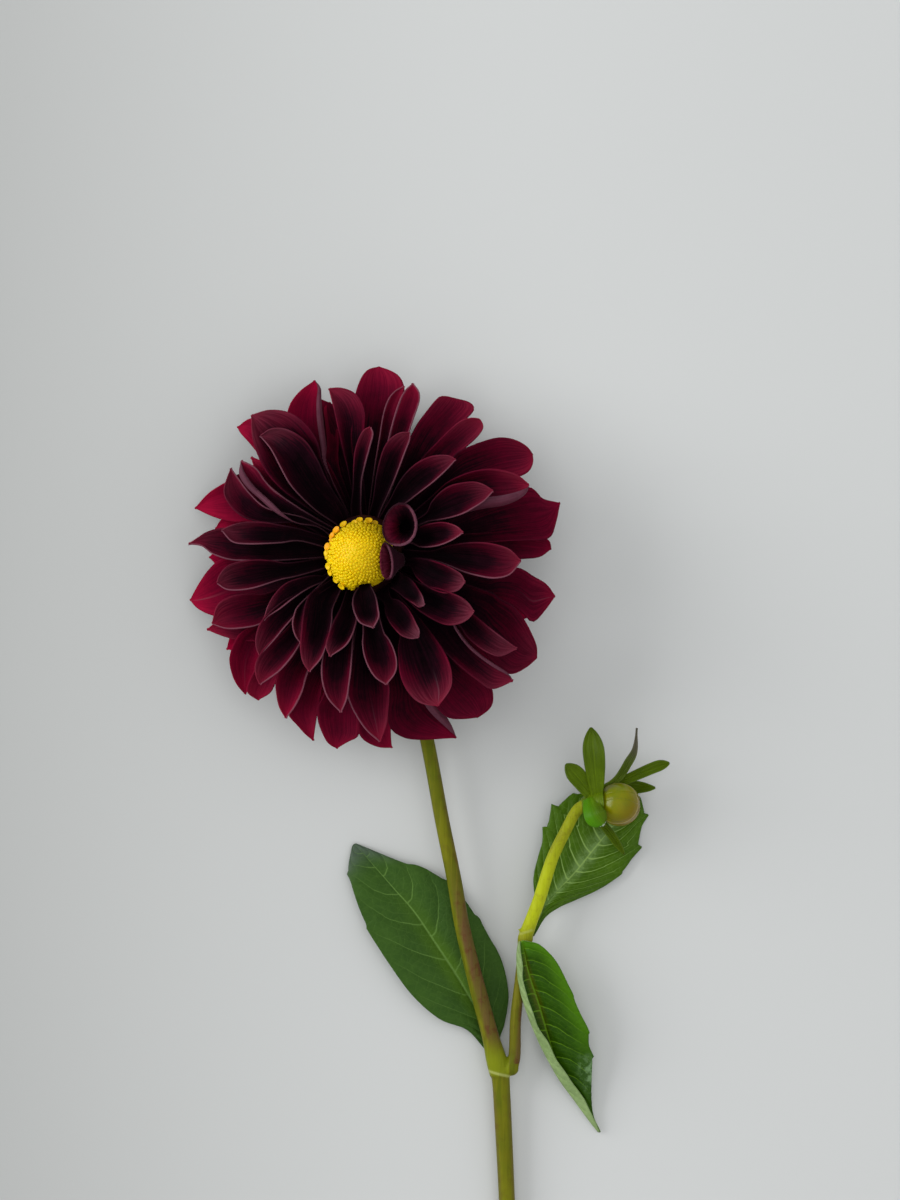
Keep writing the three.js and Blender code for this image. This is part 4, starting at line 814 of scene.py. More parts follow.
def bendPetal(blank, this, draw):
    level = this["level"]
    ring = {key: atLevel(level, key) for key in rings[0] if key != "name"}
    ring["rootHeight"] += this.get("rootUp", 0)
    root, left, right, tip = petalMargins(this, ring["rootHeight"])
    tipHeight = ring["tipHeight"]
    if tipHeight > petalMake["surfaceTipLimit"]:
        tipHeight += math.tan(headTiltLeft) * tip.x - math.tan(headTiltUp) * tip.y
        tipHeight = max(tipHeight, petalMake["lowestTip"])
    hook = ring["hook"] * draw.uniform(0.6, 1.3)
    heights = petalClimb((tip - root.xy).length, tipHeight - root.z, math.radians(ring["bow"]), hook)
    crease = this.get("crease", ring["vee"] * draw.uniform(0.7, 1.2))
    cup = draw.uniform(0.9, 1.1) * (petalMake["bladeCup"] if this.get("blade") else 1)
    valley = this.get("valley", 0.5 + draw.uniform(-0.12, 0.12))
    tilt = draw.uniform(-0.08, 0.08)
    ridge = draw.uniform(0.04, 0.12)
    wave = draw.uniform(0.1, 0.35) * ring["tone"] + 0.05
    wavePhase = draw.uniform(0, 6)
    red = this.get("red", draw.random())
    rolls = (this.get("rollLeft", 0), this.get("rollRight", 0))
    # how strongly each margin gets the painted highlight line, by default strong on a rolled margin
    light = this.get("light", tuple(0.9 if roll else 0.1 for roll in rolls))
    piece = copyPiece(blank)
    rows = {}
    for vertex in piece.data.vertices:
        rows.setdefault(round(vertex.co.y, 5), []).append(vertex)
    fromEdge, paleness = ([0.0] * len(piece.data.vertices) for _ in range(2))
    widestRow = petalMake["widestRow"]
    least = petalMake["tipHalf"] * 2
    for t, row in rows.items():
        row.sort(key=lambda vertex: -vertex.co.x)
        curl = min(mix(ring["curlRoot"], ring["curlTip"], min(1, t * 1.25)) * cup, petalMake["steepest"])
        a, b = pickFrom(left, t), pickFrom(right, t)
        if (a - b).length < least:
            middle = (a + b) / 2
            wide = (left[widestRow] - right[widestRow]).normalized()
            a, b = middle + wide * least / 2, middle - wide * least / 2
        width = (a - b).length
        share = mix(0.5, valley, smooth(0.1, 0.45, t))
        hollow = b.lerp(a, share)
        wide = (a - b) / width
        base = root.z + pickFrom(heights, t)
        for j, vertex in enumerate(row):
            s = 2 * j / petalMake["across"] - 1
            isLeft = s > 0
            roll = (rolls[0] if isLeft else rolls[1]) * smooth(0.3, 0.6, t) * smooth(1, 0.94, t)
            x, z = petalSection(s, width, 1 - share if isLeft else share, curl, roll)
            seen = hollow + wide * (x if isLeft else -x)
            relief = ridge * math.cos(3 * math.pi * s) * smooth(0.1, 0.5, t) * (1 - s * s)
            relief += wave * math.sin(7 * t + wavePhase + 2 * s) * abs(s) ** 3 * smooth(0.3, 0.7, t)
            z += relief * min(1, width / 6) + tilt * s * width / 2 + crease * abs(s) * width / 2
            vertex.co = underEye(seen.x, seen.y, base + z)
            fromEdge[vertex.index] = (1 - abs(s)) * width / 2
            paleness[vertex.index] = mix(light[1], light[0], (s + 1) / 2)
    setAttributes(piece, tone=ring["tone"], chance=red, rib=this.get("rib", 0.0), cup=0.0, fromEdge=fromEdge,
                  pale=paleness)
    return piece


def cupPetal(blank, this):
    # a blade rolled to a cup whose mouth looks up and whose lip turns in
    seat, slit, paintedHighlightAt = (math.radians(this[key]) for key in ("seat", "slit", "paintedHighlightAt"))
    radius, height = rings[0]["rootRadius"], rings[0]["rootHeight"]
    root = onHead(radius * math.cos(seat), radius * math.sin(seat), height)
    mouth = underEye(*this["mouth"], this["height"])
    bulge = Vector((*this["bulge"], 0))
    turn = Matrix.Rotation(math.radians(this["turn"]), 3, "Z")
    piece = copyPiece(blank)
    fromEdge, paleness = [], []
    for vertex in piece.data.vertices:
        s, t = 2 * vertex.co.x, vertex.co.y
        angle = slit - math.pi - math.pi * cupMake["overlap"] * s
        toSlit = math.cos(angle - slit)
        swell = mix(0.3, 1, smooth(0, 0.96, t) ** cupMake["flare"])
        middle = root.lerp(mouth, t) + bulge * (1 - swell) * smooth(0, 0.4, t)
        swell -= cupMake["lip"] * smooth(0.965, 1, t) * (0.75 - 0.35 * toSlit)
        swell *= 1 + 0.035 * math.cos(3 * angle + 1) + 0.03 * math.cos(2 * angle + 0.6)
        around = Vector((this["half"][0] * math.cos(angle), this["half"][1] * math.sin(angle), 0))
        around.rotate(turn)
        drop = this["dip"] * (toSlit + 1) * smooth(0.6, 1, t) + cupMake["lipDrop"] * smooth(0.96, 1, t)
        vertex.co = middle + around * swell - Vector((0, 0, drop))
        fromEdge.append((1 - t) * this["edge"])
        # a painted highlight on the lip, strongest round one side
        lit = smooth(this["paintedHighlightFrom"], this["paintedHighlightFrom"] + cupMake["paintedHighlightSpan"], math.cos(angle - paintedHighlightAt))
        paleness.append(lit * smooth(0.9, 0.985, t))
    setAttributes(piece, tone=cupMake["tone"], chance=this["red"], rib=0.0, cup=1.0, fromEdge=fromEdge,
                  pale=paleness)
    return piece


def makePetals():
    draw = random.Random(4)
    blank = petalBlank()
    given = seenPetals + hiddenPetals()
    for number, ring in enumerate(rings):
        blades = [bendPetal(blank, this, draw) for this in given if int(this["level"]) == number]
        if number == 0:
            blades += [cupPetal(blank, this) for this in cupPetals]
        piece = joinPieces(blades, ring["name"])
        dress(piece, petalFace, petalReverse)
        applyModifier(piece, "SOLIDIFY", thickness=petalMake["thickness"], offset=0,
                      material_offset=1, material_offset_rim=0)
        settle(piece, "petal", "bloom_petals")
        print("petals", ring["name"], len(piece.data.polygons))
    bpy.data.objects.remove(blank)


makePetals()


# Shapes turned round the head's axis, drawn along a line, or bent from a flat grid
def turned(name, profile, sides):
    # a solid of revolution on the head's axis, from radius and height pairs, extruded ring by ring
    radius, height = profile[0]
    bpy.ops.mesh.primitive_circle_add(vertices=sides, radius=radius, fill_type="NGON",
                                      location=(0, 0, height))
    piece = bpy.context.object
    piece.name = name
    bpy.ops.object.mode_set(mode="EDIT")
    bpy.ops.mesh.select_all(action="SELECT")
    for nextRadius, nextHeight in profile[1:]:
        share = nextRadius / radius
        bpy.ops.mesh.extrude_region_move(TRANSFORM_OT_translate={"value": (0, 0, nextHeight - height)})
        bpy.ops.transform.resize(value=(share, share, 1), center_override=(0, 0, nextHeight))
        radius, height = nextRadius, nextHeight
    bpy.ops.mesh.select_all(action="SELECT")
    bpy.ops.mesh.normals_make_consistent(inside=False)
    bpy.ops.object.mode_set(mode="OBJECT")
    selectOnly(piece)
    bpy.ops.object.transform_apply(location=True, rotation=True, scale=True)
    return piece


def ontoHead(piece):
    piece.data.transform(Matrix.Translation(headBase) @ headTurn.to_matrix().to_4x4())
    return piece


def makeTube(name, stops, steps):
    # round tube through stops of x, y, z and radius
    line = bpy.data.curves.new(name, "CURVE")
    line.dimensions = "3D"
    line.bevel_depth = 1
    line.bevel_resolution = 8
    line.use_fill_caps = True
    spline = line.splines.new("POLY")
    spline.points.add(steps)
    for k, point in enumerate(spline.points):
        place = along(stops, k / steps * (len(stops) - 1))
        point.co = (place[0], place[1], place[2], 1)
        point.radius = place[3]
    piece = bpy.data.objects.new(name, line)
    bpy.context.collection.objects.link(piece)
    selectOnly(piece)
    bpy.ops.object.convert(target="MESH")
    return bpy.context.object


def shapeGrid(name, across, steps, placeAt):
    # a flat grid whose points move to placeAt(u, v), u across and v from base to tip
    bpy.ops.mesh.primitive_grid_add(x_subdivisions=across, y_subdivisions=steps, size=1)
    piece = bpy.context.object
    piece.name = name
    for vertex in piece.data.vertices:
        vertex.co = placeAt(vertex.co.x + 0.5, vertex.co.y + 0.5)
    return piece


# Receptacle: the core that petals and florets stand on, hardly seen between them
coreMake = {
    "profile": [(7.5, 4.6), (10.8, 6.2), (11.6, 8.6), (11.6, 13.6), (10.2, 14.7), (9.4, 15.2)], "sides": 48,
    "wine": (0.010, 0.0015, 0.003), "brown": (0.030, 0.008, 0.004),
    "finish": {"Roughness": 0.8, "Specular IOR Level": 0.08, "relief": 0.0001},
}


def coreSkin():
    material, tree, shader = newMaterial("receptacleSkin")
    spots = blotches(tree, 250)
    colour = paint(coreMake["wine"], (spots, coreMake["brown"]))
    finishSkin(shader, colour, spots, coreMake["finish"])
    return material


def makeCore():
    core = ontoHead(turned("receptacle", coreMake["profile"], coreMake["sides"]))
    dress(core, coreSkin())
    settle(core, "petal", "bloom_petals")
    print("receptacle ready")


makeCore()

# Disc: closed florets in spirals over a dome, and open ones with lobes round its rim
discMake = {
    "base": 15.5, "middle": (0.6, -0.9), "radius": 9.9, "height": 8.6, "skirt": 1.2, "florets": 700,
    "floretWidth": 1.16, "floretLength": 2.3, "lobeDepth": 0.16, "dimple": 0.16, "sink": 0.85,
    "openAt": (137, 151, 166, 180, 194, 208, 222, 240, 120, 104, 92, 78, 64, 330, 142, 172, 200),
    "ripest": (137, 142, 151, 166), "openTube": (0.42, 0.6), "openWall": 0.16, "throatDepth": 0.7,
    "openSteps": ((1.1, 1.25), (0.9, 1.5), (0.45, 1.45)), "openLobe": 0.35, "openSink": 1.1,
    # the bed between the florets, and the room for the cups that stand in front of the disc:
    # middle and half widths as seen, and how far the bed drops there
    "bedFoot": 9.0, "bedRise": 0.4, "bedNarrow": 0.92, "bedSides": 72,
    "clear": (((9.3, 9.6), (5.4, 6.9)), ((7.2, -1.4), (3.8, 5.8)), ((-0.6, -11.2), (4.3, 3.7)),
              ((4.6, -10.5), (5.4, 3.8))), "drop": 9,
}
# deep is painted shade down between the florets, shaded is painted shade to the right and the top
discLook = {
    "yellow": (0.92, 0.64, 0.001), "deep": (0.86, 0.55, 0.001), "green": (0.80, 0.59, 0.001),
    "orange": (0.85, 0.32, 0.004), "shaded": (0.50, 0.34, 0.001),
    "finish": {"Roughness": 0.4, "Specular IOR Level": 0.2, "Subsurface Weight": 0.15,
               "Subsurface Radius": (1, 0.6, 0.1), "Subsurface Scale": 0.0006, "relief": 0.00005},
}


def discSkin():
    material, tree, shader = newMaterial("discFlorets")
    spots = blotches(tree, 500)
    coats = [(readAttribute(tree, name), discLook[coat]) for name, coat in
             (("depth", "deep"), ("shaded", "shaded"), ("ripe", "orange"))]
    colour = paint(discLook["yellow"], (spots, discLook["green"]), *coats)
    finishSkin(shader, colour, spots, discLook["finish"])
    return material


def closedFloret():
    # bullet with a five-lobed tip and a small dimple
    bpy.ops.mesh.primitive_uv_sphere_add(segments=10, ring_count=7, radius=0.5)
    floret = bpy.context.object
    wide, long = discMake["floretWidth"], discMake["floretLength"]
    for vertex in floret.data.vertices:
        height = vertex.co.z + 0.5
        angle = math.atan2(vertex.co.y, vertex.co.x)
        lobe = 1 + discMake["lobeDepth"] * math.cos(5 * angle) * smooth(0.6, 0.9, height)
        isTip = math.hypot(vertex.co.x, vertex.co.y) < 0.05 and height > 0.5
        vertex.co.x *= wide * lobe
        vertex.co.y *= wide * lobe
        vertex.co.z = (height - (discMake["dimple"] if isTip else 0)) * long
    # depth: painted shade towards the floret's foot, down in the gaps
    setAttributes(floret, depth=lambda co: 1 - smooth(0.45, 0.8, co.z / long), ripe=0.0)
    return floret


def openFloret():
    # small trumpet: a tube that widens, opens into a throat and has five lobes turned out
    radius, depth = discMake["openTube"]
    bpy.ops.mesh.primitive_cylinder_add(vertices=10, radius=radius, depth=depth, location=(0, 0, depth / 2))
    floret = bpy.context.object
    bpy.ops.object.transform_apply(location=True)
    bpy.ops.object.mode_set(mode="EDIT")
    bpy.ops.mesh.select_mode(type="FACE")
    bpy.ops.mesh.select_all(action="DESELECT")
    bpy.ops.object.mode_set(mode="OBJECT")
    for face in floret.data.polygons:
        face.select = face.normal.z > 0.9
    bpy.ops.object.mode_set(mode="EDIT")
    for rise, widen in discMake["openSteps"]:
        bpy.ops.mesh.extrude_region_move(TRANSFORM_OT_translate={"value": (0, 0, rise)})
        bpy.ops.transform.resize(value=(widen, widen, 1))
    bpy.ops.mesh.inset(thickness=discMake["openWall"])
    bpy.ops.mesh.extrude_region_move(TRANSFORM_OT_translate={"value": (0, 0, -discMake["throatDepth"])})
    bpy.ops.transform.resize(value=(0.45, 0.45, 1))
    bpy.ops.object.mode_set(mode="OBJECT")
    for vertex in floret.data.vertices:
        angle = math.atan2(vertex.co.y, vertex.co.x)
        mouth = smooth(2.2, 3.0, vertex.co.z)
        lobe = max(0, math.cos(5 * angle)) * mouth
        vertex.co.x *= 1 + discMake["openLobe"] * lobe
        vertex.co.y *= 1 + discMake["openLobe"] * lobe
        vertex.co.z -= 0.25 * (1 - lobe) * mouth
    # depth: painted shade down the tube and between the florets
    setAttributes(floret, depth=lambda co: 0.9 * (1 - smooth(0.5, 1.9, co.z)), ripe=0.25)
    return floret


def onDisc(climb, angle, lower=0.0):
    radius = (discMake["radius"] - lower) * math.cos(climb - 0.12 * (1 - climb / (math.pi / 2)))
    height = discMake["skirt"] + (discMake["height"] - discMake["skirt"] - lower) * math.sin(climb)
    x, y = discMake["middle"]
    return Vector((x + radius * math.cos(angle), y + radius * math.sin(angle), discMake["base"] + height))


def inCups(place):
    seen = overSurface(onHead(*place))
    return any(((seen.x - middle[0]) / half[0]) ** 2 + ((seen.y - middle[1]) / half[1]) ** 2 < 1
               for middle, half in discMake["clear"])


def standAt(piece, place, direction, spin, scale):
    turn = direction.to_track_quat("Z", "Y").to_matrix().to_4x4()
    sized = Matrix.Diagonal((*scale, 1))
    piece.data.transform(Matrix.Translation(place) @ turn @ Matrix.Rotation(spin, 4, "Z") @ sized)


def discBed():
    # the dome between the florets, dropped where the cups stand in front of it
    middle, base, narrow = Vector((*discMake["middle"], 0)), discMake["base"], discMake["bedNarrow"]
    steps, highest = 8, 1.45
    dome = [onDisc(step / steps * highest, 0, -discMake["bedRise"]) - middle for step in range(steps + 1)]
    profile = [(discMake["bedFoot"], base)] + [(place.x * narrow, place.z) for place in dome]
    bed = turned("discBed", profile, discMake["bedSides"])
    bed.data.transform(Matrix.Translation(middle))
    for vertex in bed.data.vertices:
        if vertex.co.z > base + 1 and inCups(vertex.co):
            vertex.co.z = max(vertex.co.z - discMake["drop"], base + 0.5)
    # the bed between the florets lies in full painted shade
    setAttributes(bed, depth=1.0, ripe=0.0)
    return bed


def shadedAt(co):
    # more to the right and to the top
    return min(1, 0.8 * smooth(-3, 8, 0.9 * co.x - 0.3 * co.y) + 0.75 * smooth(3, 9, co.y))


def makeDisc():
    draw = random.Random(9)
    closed, opened = closedFloret(), openFloret()
    florets = []
    count = discMake["florets"]
    golden = math.pi * (3 - math.sqrt(5))
    for k in range(count):
        climb = math.asin(1 - (k + 0.5) / count)
        angle = k * golden + draw.uniform(-0.05, 0.05) * math.cos(climb)
        place = onDisc(climb, angle, discMake["floretLength"] - discMake["sink"])
        direction = Vector((math.cos(climb) * math.cos(angle), math.cos(climb) * math.sin(angle),
                            math.sin(climb) * 1.3)).normalized()
        if inCups(place + direction * 2):
            continue
        floret = copyPiece(closed)
        size = (1 - 0.06 * smooth(0.8, 1.5, climb)) * draw.uniform(0.94, 1.06)
        standAt(floret, place, direction, draw.uniform(0, 1), (size, size, draw.uniform(0.9, 1.08)))
        florets.append(floret)
    for degrees in discMake["openAt"]:
        angle = math.radians(degrees + draw.uniform(-4, 4))
        climb = draw.uniform(0.05, 0.3)
        place = onDisc(climb, angle, discMake["openSink"])
        direction = Vector((math.cos(angle), math.sin(angle), draw.uniform(0.8, 1.5))).normalized()
        if inCups(place + direction * 2):
            continue
        floret = copyPiece(opened)
        size = draw.uniform(0.8, 1.1)
        standAt(floret, place, direction, draw.uniform(0, 1), (size, size, size))
        if degrees in discMake["ripest"]:
            setAttributes(floret, ripe=0.8)
        florets.append(floret)
    disc = joinPieces([discBed(), *florets], "disc")
    dress(disc, discSkin())
    setAttributes(disc, shaded=shadedAt)
    ontoHead(disc)
    settle(disc, "disc", "bloom_disc")
    for spare in (closed, opened):
        bpy.data.objects.remove(spare)
    print("disc", len(disc.data.polygons))


makeDisc()


# Bracts: small green blades through places from root to tip
bractMake = {"across": 12, "along": 36, "thickness": 0.5, "leastHalf": 0.12, "furrow": 0.12}
bractLook = {
    "green": (0.070, 0.120, 0.001), "deep": (0.036, 0.066, 0.0005), "pale": (0.15, 0.24, 0.005),
    "vivid": (0.065, 0.235, 0.001), "paintedTipHighlight": (0.72, 0.80, 0.66), "tinge": (0.11, 0.095, 0.07),
    "finish": {"Roughness": 0.35, "Specular IOR Level": 0.16, "relief": 0.0001},
}


def bractSkin():
    material, tree, shader = newMaterial("bractSkin")
    u, v = readUv(tree)
    lines = lengthStreaks(tree, 9, 0.5)
    vivid, tinge = readAttribute(tree, "vivid"), readAttribute(tree, "tinge")
    pale = bractLook["pale"]
    colour = paint(bractLook["green"], (remap(v, 0, 0.5, 0.7, 0), pale),
                   (times(blotches(tree, 260), 0.5), bractLook["deep"]), (times(lines, 0.22), pale),
                   (remap(fromMiddle(u), 0, 0.12, 0.3, 0), pale),
                   # the vivid bract: brighter green towards one margin as painted light, the other in painted
                   # shade, and a painted highlight at its tip
                   (times(vivid, remap(u, 0.1, 0.9, 0.1, 0.85)), bractLook["vivid"]),
                   (times(vivid, remap(v, 0.95, 1, 0, 0.9)), bractLook["paintedTipHighlight"]),
                   (times(tinge, remap(v, 0.4, 0.85, 0.1, 0.9)), bractLook["tinge"]))
    finishSkin(shader, colour, lines, bractLook["finish"])
    return material


bractGreen = bractSkin()


def makeBract(name, places, width, cup=0.5, widest=0.58, rootWidth=0.6, blunt=0.8, vivid=0, tinge=0):
    stops = [Vector(place) for place in places]
    last = len(stops) - 1

    def placeAt(u, v):
        middle = along(stops, v * last)
        ahead = (along(stops, v * last + 0.02) - along(stops, v * last - 0.02)).normalized()
        sideways = Vector((-ahead.y, ahead.x, 0)).normalized()
        lift = ahead.cross(sideways)
        if v < widest:
            wide = mix(rootWidth, 1, math.sin(math.pi / 2 * v / widest))
        else:
            wide = max(0, 1 - ((v - widest) / (1 - widest)) ** 2) ** blunt
        half = max(width / 2 * wide, bractMake["leastHalf"])
        s = 1 - 2 * u
        furrow = bractMake["furrow"] * math.cos(3 * math.pi * s) * min(1, half)
        return middle + sideways * half * s + lift * (cup * half * s * s - furrow)

    bract = shapeGrid(name, bractMake["across"], bractMake["along"], placeAt)
    setAttributes(bract, vivid=float(vivid), tinge=float(tinge))
    applyModifier(bract, "SOLIDIFY", thickness=bractMake["thickness"], offset=0)
    return bract


# Calyx: cup behind the head, with bracts turned back from it
calyxMake = {
    "cup": [(2.6, 0.2), (3.5, 0.35), (4.6, 1.2), (6.4, 2.5), (7.3, 3.2), (7.6, 4.3)], "sides": 40,
    "bractAngles": (22, 76, 128, 180, 232, 322), "bractPlaces": ((4.4, 1.9), (10, 0.9), (13.5, -2.4)),
    "bractWidth": 6,
}


def makeCalyx():
    cup = ontoHead(turned("calyxCup", calyxMake["cup"], calyxMake["sides"]))
    bracts = []
    for degrees in calyxMake["bractAngles"]:
        c, s = math.cos(math.radians(degrees)), math.sin(math.radians(degrees))
        places = [onHead(r * c, r * s, h) for r, h in calyxMake["bractPlaces"]]
        bracts.append(makeBract("calyxBract", places, calyxMake["bractWidth"], cup=0.3))
    calyx = joinPieces([cup, *bracts], "calyx")
    dress(calyx, bractGreen)
    settle(calyx, "calyx", "bloom_calyx")
    print("calyx ready")


makeCalyx()

# Stem: stops of x, y, z and radius for the shaft, the arm at the node and the side shoot, and the
# pale collars at both nodes
stemMake = {
    "shaft": [(42.6, -219.9, 2.4, 2.38), (41.7, -192.9, 3.0, 2.45), (40.6, -170, 3.8, 2.6),
              (39.9, -157.5, 4.6, 2.7), (39.4, -154.6, 4.9, 3.1), (38.5, -150.8, 5.2, 3.15),
              (36.6, -143.4, 5.6, 2.6), (33, -129.9, 6.4, 2.45), (28.5, -111.9, 7.2, 2.3),
              (25.8, -96.6, 7.8, 2.25), (22.2, -78.9, 8.2, 2.2), (17.7, -54.9, 8.3, 2.15),
              (12.2, -32, 7.6, 2.15), (7.8, -16, 6.6, 2.15), (4.2, -6.2, 6.4, 2.2), (2.2, -1.2, 8.6, 2.4),
              (1.8, 0, 12, 3)],
    "arm": [(39.6, -154.6, 5, 2.5), (43.1, -153.6, 5.7, 2.1)],
    "heel": ((43.1, -153.7, 5.7), 2.15),
    "shoot": [(42.9, -154, 5.7, 2.0), (44, -149.5, 6, 1.85), (44.3, -138.6, 7, 1.7), (45.6, -127.5, 8, 1.7),
              (46.6, -118.5, 8.8, 1.8), (47.1, -114.9, 9.2, 2.3), (47.6, -112.6, 9.5, 2.15),
              (49.3, -108, 10, 2.0),
              (51.6, -101.7, 10.7, 1.95), (55.2, -90.3, 11.8, 1.85), (59.2, -81.9, 12.6, 1.75),
              (62.4, -76, 13.1, 1.75), (65.6, -74, 13, 2.1)],
    "collars": [{"place": (39.4, -155.2, 4.8), "radius": 2.75, "tilt": 0.25, "reach": 4, "slope": -0.25,
                 "paleness": 0.6},
                {"place": (47.0, -112.4, 9.6), "radius": 1.95, "tilt": -0.4, "reach": 3, "slope": 0.3,
                 "paleness": 0.36}],
    "ringRadius": 0.24, "voxel": 0.3,
}
stemLook = {
    "olive": (0.135, 0.135, 0.005), "yellow": (0.21, 0.21, 0.006), "purple": (0.120, 0.070, 0.024),
    "green": (0.095, 0.120, 0.004), "pale": (0.45, 0.48, 0.16), "speck": (0.10, 0.028, 0.012),
    "node": (0.20, 0.24, 0.008), "fresh": (0.45, 0.52, 0.008), "streakScale": (700, 28, 700),
    "finish": {"Roughness": 0.45, "Specular IOR Level": 0.08, "relief": 0.00012},
}
# Tones along the stem. A tone comes in over begins and goes out over ends, both along y, and comes
# in over across, measured to the right of the shaft's middle line, or of a line with a lean: its
# slope and the y where it is at x 0.
stemTones = {
    "brown": {"share": 0.92, "begins": (-151, -141), "ends": (-112, -88), "across": (-1.7, -0.4)},
    "rightEdge": {"share": 0.5, "begins": (-112, -90), "ends": (-70, -50), "across": (0.8, 2)},
    # footSidesPaintedShade: painted shade down both sides of the shaft's foot, below the node
    "footSidesPaintedShade": {"share": 0.4, "ends": (-165, -156), "across": (1.2, 2.2)},
    "shootEdge": {"share": 0.7, "ends": (-126, -116), "across": (44.4, 45.6), "lean": (0.1, -140)},
    "budStalk": {"share": 1, "begins": (-118, -108), "across": (40, 44), "lean": (0.12, -118)},
    "node": {"share": 0.75, "begins": (-156.5, -155), "ends": (-152, -144)},
    "shootFrom": (42.6, -152), "nodeLeftOf": 42.2, "leastOnShoot": 0.2, "leastOnShaft": 0.08,
    "stalkTop": 0.55, "stalkFades": (-96, -84),
}


def stemSkin():
    material, tree, shader = newMaterial("stemSkin")
    stretch = addNode(tree, "ShaderNodeMapping")
    stretch.inputs["Scale"].default_value = stemLook["streakScale"]
    feed(stretch.inputs["Vector"], objectPlace(tree))
    streaks = remap(noise(stretch.outputs[0], 1, 4), 0.4, 0.62)
    fresh, purple, node, pale = (readAttribute(tree, name) for name in ("fresh", "purple", "node", "pale"))
    specks = times(remap(blotches(tree, 420), 0.55, 0.95), straight(purple, 0.5, 0.1))
    colour = paint(stemLook["olive"], (blotches(tree, 70), stemLook["green"]),
                   (times(streaks, 0.45), stemLook["yellow"]), (fresh, stemLook["fresh"]),
                   (times(purple, straight(streaks, 0.35, 0.65)), stemLook["purple"]),
                   (specks, stemLook["speck"]), (node, stemLook["node"]), (pale, stemLook["pale"]))
    finishSkin(shader, colour, streaks, stemLook["finish"])
    return material


def nearRing(co, ring):
    # how near a place on the stem is to the collar's slanting line
    off = co - Vector(ring["place"])
    if off.length >= ring["reach"]:
        return 0.0
    return ring["paleness"] * (1 - smooth(0.15, 0.6, abs(off.y - ring["slope"] * off.x)))


def rightOfShaft(co):
    # how far right of the shaft's middle line
    for low, high in zip(stemMake["shaft"], stemMake["shaft"][1:]):
        if co.y < high[1]:
            break
    return co.x - mix(low[0], high[0], (co.y - low[1]) / (high[1] - low[1]))


def toneAt(name, co, across=0):
    tone = stemTones[name]
    share = tone["share"]
    if "lean" in tone:
        slope, level = tone["lean"]
        across = co.x - slope * (co.y - level)
    if "begins" in tone:
        share *= smooth(*tone["begins"], co.y)
    if "ends" in tone:
        share *= 1 - smooth(*tone["ends"], co.y)
    if "across" in tone:
        share *= smooth(*tone["across"], across)
    return share


# purple tones along the stem, with painted shade along the sides of its foot
def purpleAt(co):
    rightOf, above = stemTones["shootFrom"]
    if co.x > rightOf and co.y > above:
        return toneAt("shootEdge", co) + stemTones["leastOnShoot"]
    right = rightOfShaft(co)
    streak = max(toneAt("brown", co, right), toneAt("rightEdge", co, right))
    return streak + toneAt("footSidesPaintedShade", co, abs(right)) + stemTones["leastOnShaft"]


def freshAt(co):
    return toneAt("budStalk", co) * mix(1, stemTones["stalkTop"], smooth(*stemTones["stalkFades"], co.y))


def nodeAt(co):
    return toneAt("node", co) * (co.x < stemTones["nodeLeftOf"])


def makeStem():
    parts = [makeTube(name, [Vector(stop) for stop in stemMake[name]], steps)
             for name, steps in (("shaft", 120), ("arm", 4), ("shoot", 90))]
    heel, radius = stemMake["heel"]
    bpy.ops.mesh.primitive_uv_sphere_add(segments=24, ring_count=16, radius=radius, location=heel)
    parts.append(bpy.context.object)
    for ring in stemMake["collars"]:
        bpy.ops.mesh.primitive_torus_add(major_segments=40, minor_segments=10, major_radius=ring["radius"],
                                         minor_radius=stemMake["ringRadius"], location=ring["place"],
                                         rotation=(math.pi / 2, ring["tilt"] * 0.4, ring["tilt"]))
        parts.append(bpy.context.object)
    for part in parts:
        selectOnly(part)
        bpy.ops.object.transform_apply(location=True, rotation=True, scale=True)
    stem = joinPieces(parts, "stemSkinned")
    applyModifier(stem, "REMESH", mode="VOXEL", voxel_size=stemMake["voxel"])
    applyModifier(stem, "SMOOTH", factor=0.5, iterations=5)
    stem.name = "stemPiece"
    setAttributes(stem, fresh=freshAt, node=nodeAt, purple=purpleAt,
                  pale=lambda co: max(nearRing(co, ring) for ring in stemMake["collars"]))
    dress(stem, stemSkin())
    settle(stem, "stem", "stem")
    print("stem", len(stem.data.polygons))


makeStem()


